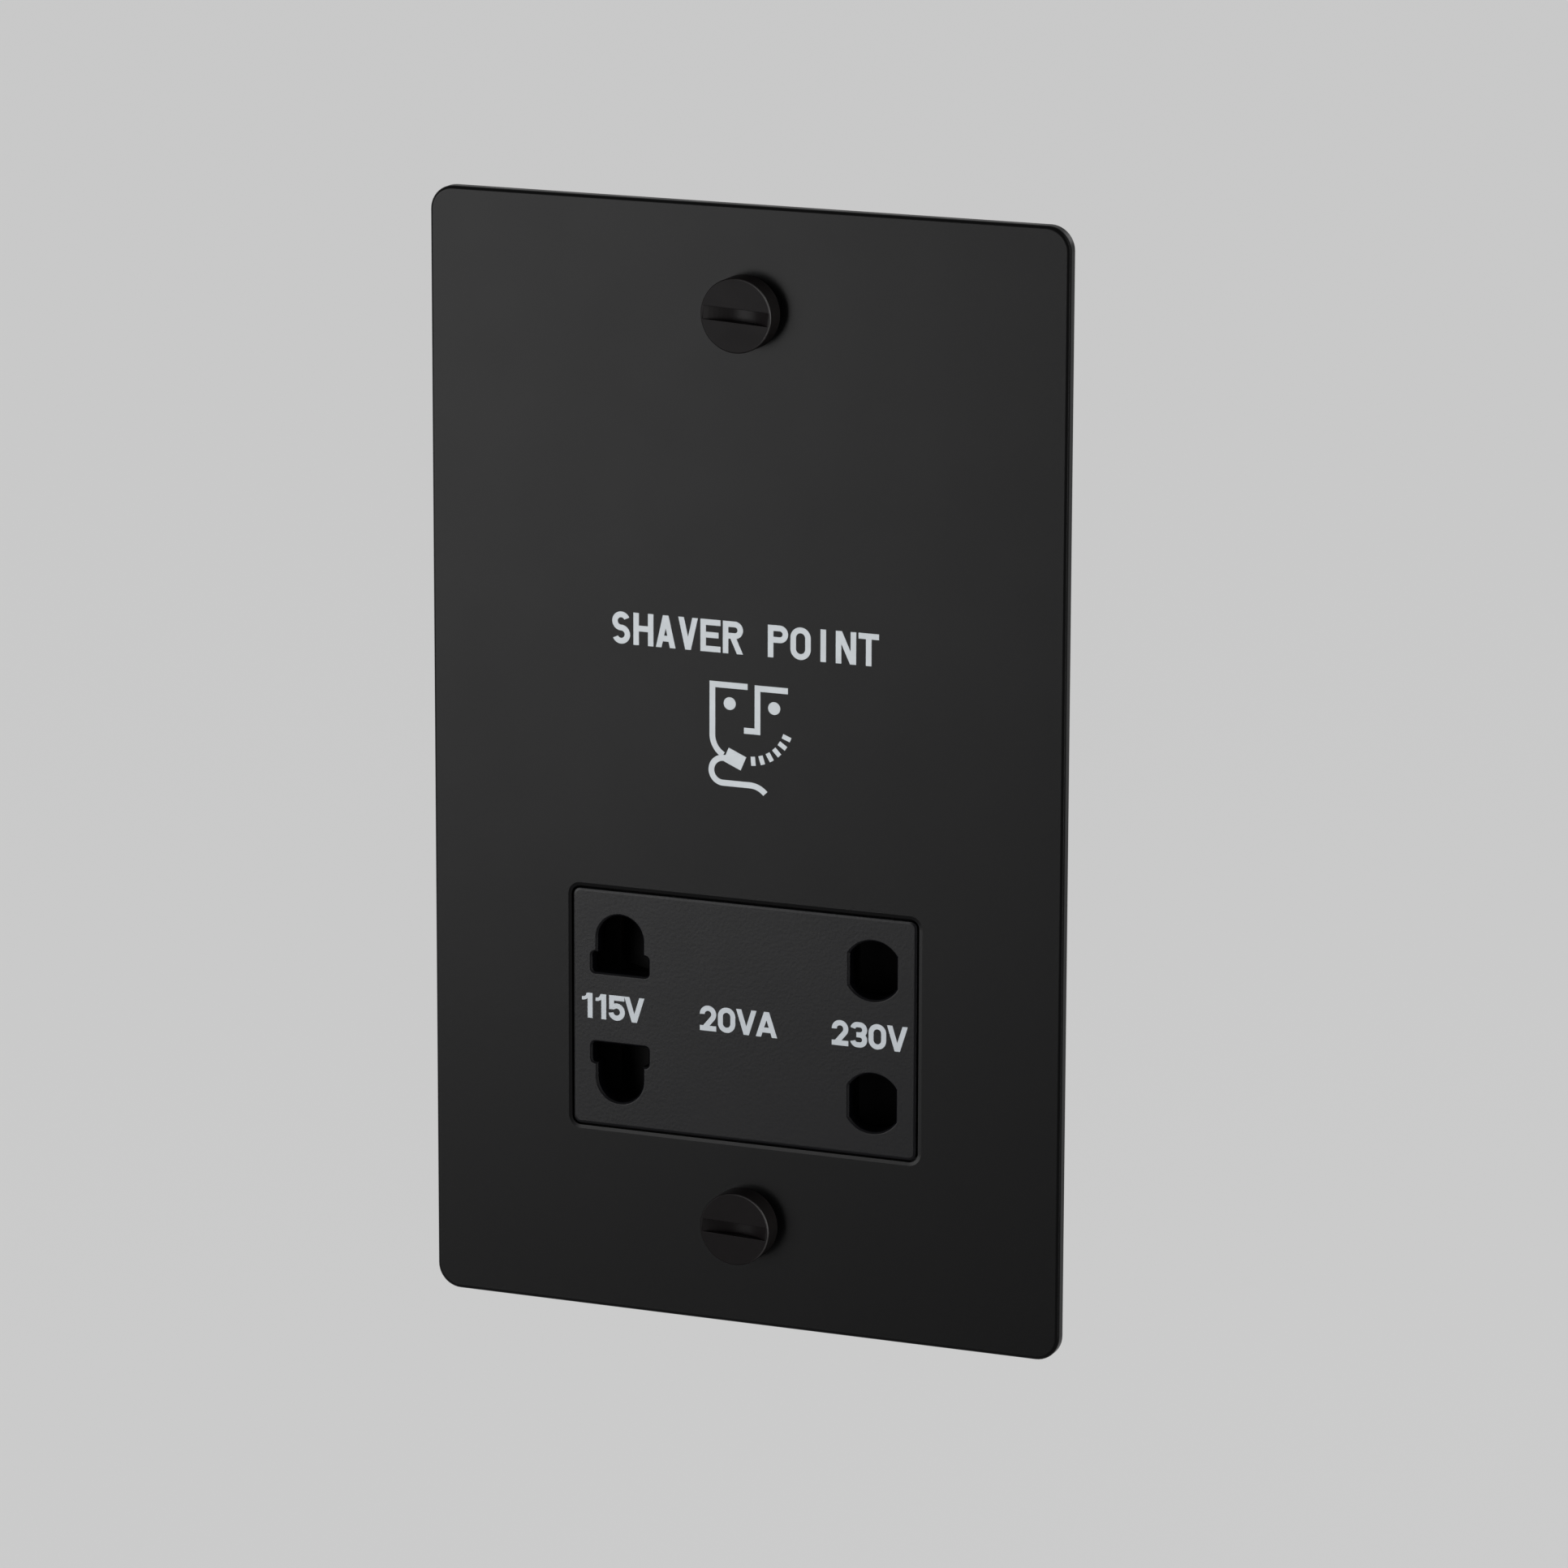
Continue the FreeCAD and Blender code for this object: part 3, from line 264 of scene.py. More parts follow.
@dataclass(frozen=True)
class Finish:
    """Sprayed or moulded surface with a fine grain and a slow mottle."""

    slot: str
    color: Triple
    roughness: float
    specular: float = 0.5
    metallic: float = 0.0
    grain: float = 0.3 * MM
    relief: float = 0.006 * MM
    mottle: float = 9 * MM
    shade: float = 0.82
    gloss_range: float = 0.06
    round_edge: float = 0.0

    def material(self, shop: EffectShop) -> bpy.types.Material:
        """Build the material.

        Args:
            shop: Where the shared effects are.

        Returns:
            The new material.
        """
        material = bpy.data.materials.new(self.slot)
        bench = Bench(material, shop)
        bench.put("Metallic", self.metallic)
        bench.put("Specular IOR Level", self.specular)
        height, mask = self.relief_and_mask(bench)
        self.paint(bench, mask)
        bump = bench.add("ShaderNodeBump", {"Distance": self.relief, "Height": height})
        if self.round_edge:
            edges = bench.add("ShaderNodeBevel", {"Radius": self.round_edge}, samples=8)
            bench.feed(bump.inputs["Normal"], edges.outputs["Normal"])
        bench.put("Normal", bump.outputs["Normal"])
        return material

    def relief_and_mask(self, bench: Bench) -> tuple[Socket, Socket]:
        """Add the effect that gives the surface its relief.

        Args:
            bench: What the material is made with.

        Returns:
            The height of the relief, and the mask of its light and dark parts.
        """
        grain = bench.effect(Effect.GRAIN, Fine=1 / self.grain, Slow=1 / self.mottle)
        return grain["Height"], grain["Mottle"]

    def paint(self, bench: Bench, mask: Socket) -> None:
        """Colour the surface, and vary its gloss, by its mask.

        Args:
            bench: What the material is made with.
            mask: Light and dark parts of the surface.
        """
        dark = tuple(channel * self.shade for channel in self.color)
        bench.put("Base Color", bench.tint(mask, self.color, dark))
        least, most = (self.roughness + side * self.gloss_range / 2 for side in (-1, 1))
        bench.put("Roughness", bench.blend(mask, least, most))


@dataclass(frozen=True)
class Ink(Finish):
    """Printed ink, even and smooth."""

    roughness: float = 0.55
    specular: float = 0.3
    grain: float = 0.15 * MM
    relief: float = 0.004 * MM
    mottle: float = 2 * MM
    shade: float = 0.94


@dataclass(frozen=True)
class DrawnMetal(Finish):
    """Rolled, drawn or plated metal, with fine lines along one axis."""

    metallic: float = 1.0
    stretch: Triple = (6000.0, 6000.0, 300.0)

    def relief_and_mask(self, bench: Bench) -> tuple[Socket, Socket]:
        """Add the drawn lines; the argument and results are the plain finish's."""
        streaks = bench.effect(Effect.STREAKS, Stretch=self.stretch, Slow=1 / self.mottle)
        return streaks["Height"], streaks["Mottle"]


@dataclass(frozen=True)
class Banded(Finish):
    """Surface of even bands, such as stacked sheets or wound tape."""

    axis: Triple = (0.0, 1.0, 0.0)
    pitch: float = 0.5 * MM
    groove: float = 0.12
    groove_color: Triple = (0.02, 0.02, 0.02)

    def bands(self, bench: Bench) -> Socket:
        """Add the bands, whose height is 0 in a groove and 1 on a band."""
        axis = tuple(part / self.pitch for part in self.axis)
        return bench.effect(Effect.BANDS, Axis=axis, Groove=self.groove)["Height"]

    def relief_and_mask(self, bench: Bench) -> tuple[Socket, Socket]:
        """Let the bands stand proud; the argument and results are the plain finish's."""
        return self.bands(bench), super().relief_and_mask(bench)[1]

    def paint(self, bench: Bench, mask: Socket) -> None:
        """Colour the bands by the mask, and the grooves between them.

        Args:
            bench: What the material is made with.
            mask: Light and dark parts of the surface.
        """
        super().paint(bench, mask)
        painted = bench.given("Base Color")
        bench.put("Base Color", bench.tint(self.bands(bench), self.groove_color, painted))


@dataclass(frozen=True)
class StuddedPlate(Banded):
    """Coated plate whose bare weld studs, behind its back face, show their thread."""

    stud_color: Triple = (0.55, 0.55, 0.54)
    stud_roughness: float = 0.35
    thread_depth: float = 0.5
    back: float = 0.2 * MM

    def on_stud(self, bench: Bench) -> Socket:
        """Mask that is 1 on the studs, which stand behind the plate."""
        depth = bench.add("ShaderNodeSeparateXYZ", {0: bench.place}).outputs["Y"]
        return bench.math("GREATER_THAN", depth, self.back)

    def relief_and_mask(self, bench: Bench) -> tuple[Socket, Socket]:
        """Give the plate its grain and the studs their thread.

        Args:
            bench: What the material is made with.

        Returns:
            The height of the relief, and the mask of its light and dark parts.
        """
        height, mottle = Finish.relief_and_mask(self, bench)
        depth = self.thread_depth * self.pitch / self.relief
        thread = bench.math("MULTIPLY", self.bands(bench), depth)
        return bench.blend(self.on_stud(bench), height, thread), mottle

    def paint(self, bench: Bench, mask: Socket) -> None:
        """Colour the coating by its mask, and the studs as bare steel.

        Args:
            bench: What the material is made with.
            mask: Light and dark parts of the surface.
        """
        Finish.paint(self, bench, mask)
        stud = self.on_stud(bench)
        bench.put("Base Color", bench.tint(stud, bench.given("Base Color"), self.stud_color))
        bench.put("Roughness", bench.blend(stud, bench.given("Roughness"), self.stud_roughness))
        bench.put("Metallic", stud)


@dataclass(frozen=True)
class PaintedLightCoat(Finish):
    """Coating with painted light: paler on the faces that carry its mark, where the screw head turns to the
    right strip lamp, and glossy there under a clear coat that mirrors the lamps.
    """

    mark: str = "painted_light_mark"
    # Paler colour of the painted light on the marked faces
    painted_light_color: Triple = (0.016, 0.0145, 0.014)
    shine: float = 1.0
    shine_roughness: float = 0.3

    def paint(self, bench: Bench, mask: Socket) -> None:
        """Colour the coating by its mask, paint its marked faces paler as painted light, and give them a
        glossy coat.

        Args:
            bench: What the material is made with.
            mask: Light and dark parts of the surface.
        """
        super().paint(bench, mask)
        marked = bench.add("ShaderNodeAttribute", attribute_name=self.mark).outputs["Fac"]
        # Painted light: the marked faces are painted paler, in place of light from the right strip lamp; the
        # coat weight is real gloss
        bench.put("Base Color", bench.tint(marked, bench.given("Base Color"), self.painted_light_color))
        bench.put("Coat Weight", bench.math("MULTIPLY", marked, self.shine))
        bench.put("Coat Roughness", self.shine_roughness)


LEAD_COLORS: dict[str, Triple] = {
    "lead_brown": (0.16, 0.06, 0.025),
    "lead_blue": (0.03, 0.09, 0.36),
    "lead_white": (0.7, 0.7, 0.68),
    "lead_red": (0.45, 0.03, 0.03),
    "lead_grey": (0.26, 0.26, 0.26),
}
FINISHES = (
    StuddedPlate("plate_coating", (0.0012, 0.0012, 0.0013), 0.29, specular=0.072, grain=0.28 * MM,
                 relief=0.002 * MM, mottle=14 * MM, shade=0.9, gloss_range=0.02),
    # The screws' coating carries painted light on the faces that turn to the right strip lamp
    PaintedLightCoat("screw_coating", (0.0046, 0.0038, 0.0040), 0.335, specular=0.033, grain=0.22 * MM,
               relief=0.002 * MM, mottle=3 * MM, gloss_range=0.03),
    Finish("insert_plastic", (0.0010, 0.0010, 0.0016), 0.30, specular=0.108, grain=0.42 * MM,
           relief=0.004 * MM, mottle=6 * MM, gloss_range=0.03, round_edge=0.15 * MM),
    Finish("shutter_plastic", (0.002, 0.002, 0.002), 0.6, specular=0.05, grain=0.4 * MM),
    Finish("carrier_plastic", (0.008, 0.008, 0.008), 0.55, specular=0.2, grain=0.4 * MM, relief=0.01 * MM),
    Finish("housing_plastic", (0.045, 0.046, 0.048), 0.5, specular=0.4, grain=0.45 * MM,
           relief=0.014 * MM, mottle=15 * MM),
    Finish("bobbin_plastic", (0.7, 0.68, 0.6), 0.42, grain=0.5 * MM),
    Finish("insulation_film", (0.75, 0.74, 0.68), 0.35, grain=1.2 * MM, mottle=5 * MM, shade=0.92),
    DrawnMetal("spring_strip", (0.6, 0.6, 0.6), 0.3),
    DrawnMetal("contact_bronze", (0.72, 0.5, 0.3), 0.32),
    DrawnMetal("terminal_brass", (0.78, 0.62, 0.32), 0.3, stretch=(5000.0, 5000.0, 200.0)),
    DrawnMetal("zinc_steel", (0.62, 0.63, 0.64), 0.36, stretch=(3000.0, 3000.0, 700.0), mottle=2.5 * MM,
               shade=0.75),
    Banded("lamination_steel", (0.2, 0.2, 0.21), 0.45, metallic=0.6, relief=0.05 * MM),
    Banded("winding_primary", (0.68, 0.5, 0.06), 0.35, axis=(1.0, 0.0, 0.0), pitch=2.2 * MM, groove=0.05,
           groove_color=(0.4, 0.27, 0.03), relief=0.08 * MM),
    Banded("winding_secondary", (0.5, 0.2, 0.07), 0.3, metallic=0.8, axis=(1.0, 0.0, 0.0), pitch=0.42 * MM,
           groove=0.4, groove_color=(0.14, 0.04, 0.015), relief=0.12 * MM),
    Finish("cutout_case", (0.03, 0.03, 0.034), 0.28, grain=0.5 * MM),
    *(Finish(slot, color, 0.4, grain=0.6 * MM) for slot, color in LEAD_COLORS.items()),
    Ink("plate_ink", (0.466, 0.494, 0.514)),
    Ink("mark_ink", (0.404, 0.431, 0.456)),
)


class Wardrobe:
    """All materials, by slot: the record's slots and the inks."""

    def __init__(self) -> None:
        """Build each finish's material once."""
        shop = EffectShop()
        self._by_slot = {finish.slot: finish.material(shop) for finish in FINISHES}

    def dress(self, piece: bpy.types.Object, slot: str) -> None:
        """Give a piece the material of a slot, in place of any it has."""
        piece.data.materials.clear()
        piece.data.materials.append(self._by_slot[slot])

    def dress_frame(self) -> None:
        """Dress every node of the frame by its slot in the record."""
        for part in frame["record"]["subparts"]:
            node, slot = part["node"], part["material_slot"]
            self.dress(frame["nodes"][node], slot)
            LOG.info("node %s is dressed in %s", node, slot)


def ray(angle: float) -> Vector:
    """Unit step at an angle, in radians anticlockwise from the first axis."""
    return Vector((math.cos(angle), math.sin(angle)))


def of_kind(parts: Iterable[MeshPart], kind: type) -> list:
    """The corners, the edges or the faces among some parts of a shape, in order."""
    return [part for part in parts if isinstance(part, kind)]


def merge_corners(shape: BMesh) -> None:
    """Make one corner of those that lie on the same spot."""
    bmesh.ops.remove_doubles(shape, verts=shape.verts, dist=SAME_SPOT)


def round_edges(shape: BMesh, edges: list[BMEdge], radius: float, segments: int) -> list[BMFace]:
    """Round some edges of a shape, and give the new faces."""
    return bmesh.ops.bevel(shape, geom=edges, offset=radius, offset_type="OFFSET", affect="EDGES",
                           segments=segments, profile=0.5, material=-1)["faces"]


def mesh_of(name: str, shape: BMesh) -> bpy.types.Mesh:
    """Turn a shape into a mesh, and free the shape.

    Args:
        name: The mesh's name.
        shape: Its faces.

    Returns:
        The mesh.
    """
    mesh = bpy.data.meshes.new(name)
    shape.to_mesh(mesh)
    shape.free()
    return mesh


def placed(name: str, data: bpy.types.ID) -> bpy.types.Object:
    """Put a new object with some data into the scene.

    Args:
        name: The object's name.
        data: What it shows.

    Returns:
        The object.
    """
    thing = bpy.data.objects.new(name, data)
    bpy.context.scene.collection.objects.link(thing)
    return thing


def finished_piece(name: str, shape: BMesh) -> bpy.types.Object:
    """Turn a closed shape into a piece that rides on the unit.

    Args:
        name: The piece's name.
        shape: Its faces, which this frees.

    Returns:
        The piece, smooth except at its sharp edges.
    """
    merge_corners(shape)
    bmesh.ops.recalc_face_normals(shape, faces=shape.faces)
    mesh = mesh_of(name, shape)
    mesh.shade_smooth()
    mesh.set_sharp_from_angle(angle=SMOOTH_ANGLE)
    piece = placed(name, mesh)
    piece.modifiers.new("flat_faces", "WEIGHTED_NORMAL").keep_sharp = True
    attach(piece, UNIT)
    LOG.info("piece %s has %d faces", name, len(mesh.polygons))
    return piece


@dataclass
class CoinScrew:
    """Fixing screw: a turned head with a coin slot, a neck and a threaded shank."""

    name: str
    height: float
    slot_turn: float
    slot_light_share: float
    head_radius: float
    front: float
    seat: float
    tip: float
    rim: float = 0.17 * MM
    rim_segments: int = 4
    rim_fade: int = 2
    side_light_share: float = 0.6
    side_slope: float = 1e-3
    painted_light_lift: float = math.radians(14)
    slot_size: Triple = (8.9 * MM, 1.75 * MM, 1.5 * MM)
    slot_cuts: int = 16
    slot_edge: float = 0.07 * MM
    slot_segments: int = 2
    slot_fade: int = 4
    neck_radius: float = 2.0 * MM
    thread_radius: float = 1.75 * MM
    thread_root: float = 1.4 * MM
    thread_sunk: float = 0.1 * MM
    thread_pitch: float = 0.6 * MM
    thread_base: float = 0.42
    thread_steps: int = 24
    thread_start: float = 3.0 * MM
    point: float = 0.7 * MM
    steps: int = 96

    @property
    def turn(self) -> Matrix:
        """The slot's turn about the screw's axis."""
        return Matrix.Rotation(self.slot_turn, 3, "Y")

    def build(self, wardrobe: Wardrobe) -> bpy.types.Object:
        """Model and dress the screw.

        Args:
            wardrobe: Where its material is.

        Returns:
            The screw.
        """
        shape = bmesh.new()
        self._turn_profile(shape)
        self._paint_head_light(shape)
        self._mill_slot(shape)
        self._cut_thread(shape)
        bmesh.ops.translate(shape, verts=shape.verts, vec=(0, 0, self.height))
        piece = finished_piece(self.name, shape)
        wardrobe.dress(piece, "screw_coating")
        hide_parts("fixing_screws")
        return piece

    def _turn_profile(self, shape: BMesh) -> None:
        """Spin the screw's profile round its axis and close both ends.

        Args:
            shape: The screw.
        """
        profile = [
            (self.head_radius, self.front),
            (self.head_radius, self.seat),
            (self.neck_radius, self.seat),
            (self.neck_radius, 0.0),
            (self.thread_radius, 0.0),
            (self.thread_radius, self.thread_start),
            (self.thread_root, self.thread_start + self.thread_pitch),
            (self.thread_root, self.tip - self.point),
            (self.thread_root - self.point / 2, self.tip),
        ]
        line = [shape.verts.new((radius, y, 0)) for radius, y in profile]
        edges = [shape.edges.new(pair) for pair in zip(line, line[1:])]
        bmesh.ops.spin(shape, geom=line + edges, cent=(0, 0, 0), axis=(0, 1, 0), dvec=(0, 0, 0),
                       angle=2 * math.pi, steps=self.steps, use_merge=True, use_duplicate=False)
        merge_corners(shape)
        bmesh.ops.holes_fill(shape, edges=[edge for edge in shape.edges if edge.is_boundary])
        bmesh.ops.recalc_face_normals(shape, faces=shape.faces)

    def _paint_head_light(self, shape: BMesh) -> None:
        """Round the head's rim, and mark the painted light on the rim and the side, most where they face the
        right strip lamp.

        Args:
            shape: The screw.
        """
        painted_light_mark = shape.faces.layers.float.new(PaintedLightCoat.mark)
        rim = [edge for edge in shape.edges if all(map(self._on_front, edge.verts))]
        for face in round_edges(shape, rim, self.rim, self.rim_segments):
            # Painted light on the rim, strongest on the side toward the right strip lamp
            face[painted_light_mark] = self._painted_light_share(face)
        for face in shape.faces:
            on_head = self.front < face.calc_center_median().y < self.seat
            if on_head and abs(face.normal.y) < self.side_slope:
                # Painted light on the head's side wall, weaker than on the rim
                face[painted_light_mark] = self.side_light_share * self._painted_light_share(face)

    def _painted_light_share(self, face: BMFace) -> float:
        """Share of painted light on a face of the head, most where it faces a little above the slot's right
        end, toward the right strip lamp.
        """
        around = face.calc_center_median().xz.normalized()
        return max(0.0, around.dot(ray(self.painted_light_lift - self.slot_turn))) ** self.rim_fade

    def _on_front(self, vert: BMVert) -> bool:
        """Whether a corner lies in the head's front face."""
        return abs(vert.co.y - self.front) < SAME_SPOT

    def _level(self, place: Vector) -> Vector:
        """Where a place lies when the slot is turned back level."""
        return self.turn.inverted() @ place

    def _slot_region(self, shape: BMesh) -> list[MeshPart]:
        """The front faces inside the slot's outline with all their edges and corners.

        Args:
            shape: The screw.

        Returns:
            The slot's faces, edges and corners, or those of the face on the axis before it is marked.
        """
        length, width, _ = self.slot_size
        front = [face for face in shape.faces if all(map(self._on_front, face.verts))]
        inside = []
        for face in front:
            corners = [self._level(vert.co) for vert in face.verts]
            if all(abs(co.x) < length / 2 + NEARBY and abs(co.z) < width / 2 + NEARBY for co in corners):
                inside.append(face)
        inside = inside or [min(front, key=lambda face: Vector(face.calc_center_bounds()).xz.length)]
        return list({part for face in inside for part in (face, *face.edges, *face.verts)})

    def _mill_slot(self, shape: BMesh) -> None:
        """Mark the slot on the front face, and sink it along a disc cutter's arc, with painted light on its
        floor, most at its left end, which faces the right strip lamp.

        Args:
            shape: The screw.
        """
        length, width, depth = self.slot_size
        across, along = Vector((0, 0, 1)), Vector((1, 0, 0))
        lines = [(across, -width / 2), (across, width / 2), (along, -length / 2), (along, length / 2)]
        step = length / self.slot_cuts
        lines += [(along, index * step - length / 2) for index in range(1, self.slot_cuts)]
        for normal, offset in lines:
            bmesh.ops.bisect_plane(shape, geom=self._slot_region(shape), dist=CUT_SNAP,
                                   plane_co=self.turn @ (normal * offset), plane_no=self.turn @ normal)
        sunk = bmesh.ops.extrude_face_region(shape, geom=self._slot_region(shape))["geom"]
        painted_light_mark = shape.faces.layers.float[PaintedLightCoat.mark]
        # Painted light on the slot's floor, fading from its left end, which faces the right strip lamp
        for face in of_kind(sunk, BMFace):
            from_right = 0.5 - self._level(face.calc_center_median()).x / length
            face[painted_light_mark] = self.slot_light_share * from_right**self.slot_fade
        cutter = (length**2 / 4 + depth**2) / (2 * depth)
        for vert in of_kind(sunk, BMVert):
            x = self._level(vert.co).x
            vert.co.y += math.sqrt(cutter**2 - x**2) - (cutter - depth)
        merge_corners(shape)
        brink = [edge for edge in shape.edges if self._on_brink(edge)]
        round_edges(shape, brink, self.slot_edge, self.slot_segments)

    def _on_brink(self, edge: BMEdge) -> bool:
        """Whether an edge lies along one of the slot's two long edges.

        Args:
            edge: Any edge of the screw.

        Returns:
            True on those edges.
        """
        half = self.slot_size[1] / 2
        level = all(abs(abs(self._level(vert.co).z) - half) < NEARBY for vert in edge.verts)
        return level and all(map(self._on_front, edge.verts)) and edge.calc_face_angle(0) > SMOOTH_ANGLE

    def _cut_thread(self, shape: BMesh) -> None:
        """Wind a ridge along the shank.

        Args:
            shape: The screw.
        """
        turns = int((self.tip - self.point - self.thread_start) / self.thread_pitch)
        steps = self.thread_steps * turns
        foot = self.thread_root - self.thread_sunk
        base = self.thread_base * self.thread_pitch
        start = self.thread_start + self.thread_pitch / 2
        corners = ((foot, start - base), (self.thread_radius, start), (foot, start + base))
        ridge = shape.faces.new([shape.verts.new((radius, y, 0)) for radius, y in corners])
        bmesh.ops.spin(shape, geom=[ridge], cent=(0, 0, 0), axis=(0, 1, 0),
                       dvec=(0, turns * self.thread_pitch / steps, 0), angle=2 * math.pi * turns,
                       steps=steps, use_merge=False, use_duplicate=False)


class Pen:
    """Broad pen that draws flat ribbons on a plane that faces -Y, each a hair over the last."""

    LAYER = 0.001 * MM
    ARC_STEP = 6
    ARC_LEAST = 4
    DOT_SIDES = 40

    def __init__(self, shape: BMesh, width: float, plane: float) -> None:
        """Take up the pen.

        Args:
            shape: Where the ribbons go.
            width: The stroke's width.
            plane: Height of the plane along Y.
        """
        self.shape = shape
        self.half = width / 2
        self.plane = plane
        self.place = Vector((0.0, 0.0))
        self.heading = 0.0
        self.nib: BMEdge | None = None

    def _leftward(self, length: float) -> Vector:
        """Step to the left of the heading."""
        return ray(self.heading).orthogonal() * length

    def _dip(self, ends: Iterable[Vector]) -> None:
        """Lay the nib between two places, on a new layer."""
        self.plane -= self.LAYER
        self.nib = self.shape.edges.new([self.shape.verts.new((end.x, self.plane, end.y)) for end in ends])

    def set_down(self, x: float, z: float, heading: float) -> "Pen":
        """Start a stroke at a place, with its heading in degrees anticlockwise from +X.

        Args:
            x: The place along X.
            z: The place along Z.
            heading: The stroke's heading.

        Returns:
            The pen.
        """
        self.place = Vector((x, z))
        self.heading = math.radians(heading)
        self._dip(self.place + self._leftward(side) for side in (self.half, -self.half))
        return self

    def run(self, length: float) -> "Pen":
        """Draw straight on.

        Args:
            length: How far.

        Returns:
            The pen.
        """
        step = ray(self.heading) * length
        ahead = of_kind(bmesh.ops.extrude_edge_only(self.shape, edges=[self.nib])["geom"], BMVert)
        bmesh.ops.translate(self.shape, verts=ahead, vec=(step.x, 0, step.y))
        self.nib = self.shape.edges.get(ahead)
        self.place += step
        return self

    def bend(self, radius: float, turn: float) -> "Pen":
        """Draw an arc that turns by some degrees, to the left where the turn is positive.

        Args:
            radius: Of the stroke's middle line.
            turn: The degrees.

        Returns:
            The pen.
        """
        angle = math.radians(turn)
        reach = math.copysign(radius, turn)
        centre = self.place + self._leftward(reach)
        drawn = bmesh.ops.spin(
            self.shape, geom=[self.nib, *self.nib.verts], cent=(centre.x, self.plane, centre.y),
            axis=(0, -1, 0), dvec=(0, 0, 0), angle=angle,
            steps=max(self.ARC_LEAST, round(abs(turn) / self.ARC_STEP)), use_merge=False, use_duplicate=False,
        )["geom_last"]
        self.nib = of_kind(drawn, BMEdge)[0]
        self.heading += angle
        self.place = centre - self._leftward(reach)
        return self

    def slash(self, foot: Pair, head: Pair) -> None:
        """Draw a slanting stroke with level ends.

        Args:
            foot: Middle of its lower end.
            head: Middle of its upper end.
        """
        rise = Vector(head) - Vector(foot)
        level = self.half * rise.length / abs(rise.y)
        self._dip(Vector((foot[0] + side, foot[1])) for side in (level, -level))
        self.heading = rise.angle_signed(Vector((1, 0)))
        self.run(rise.length)

    def dot(self, x: float, z: float, radius: float) -> None:
        """Fill a round dot.

        Args:
            x: Its middle along X.
            z: Its middle along Z.
            radius: Its size.
        """
        self.plane -= self.LAYER
        bmesh.ops.create_circle(self.shape, cap_ends=True, radius=radius, segments=self.DOT_SIDES,
                                matrix=Matrix.Translation((x, self.plane, z)) @ FRONT_TURN)


def thicken(shape: BMesh, depth: float) -> None:
    """Make flat ribbons closed solids, from their planes back along +Y.

    Args:
        shape: The ribbons.
        depth: How thick they get.
    """
    merge_corners(shape)
    drawn = bmesh.ops.extrude_face_region(shape, geom=shape.faces[:], use_keep_orig=True)["geom"]
    bmesh.ops.translate(shape, verts=of_kind(drawn, BMVert), vec=(0, depth, 0))


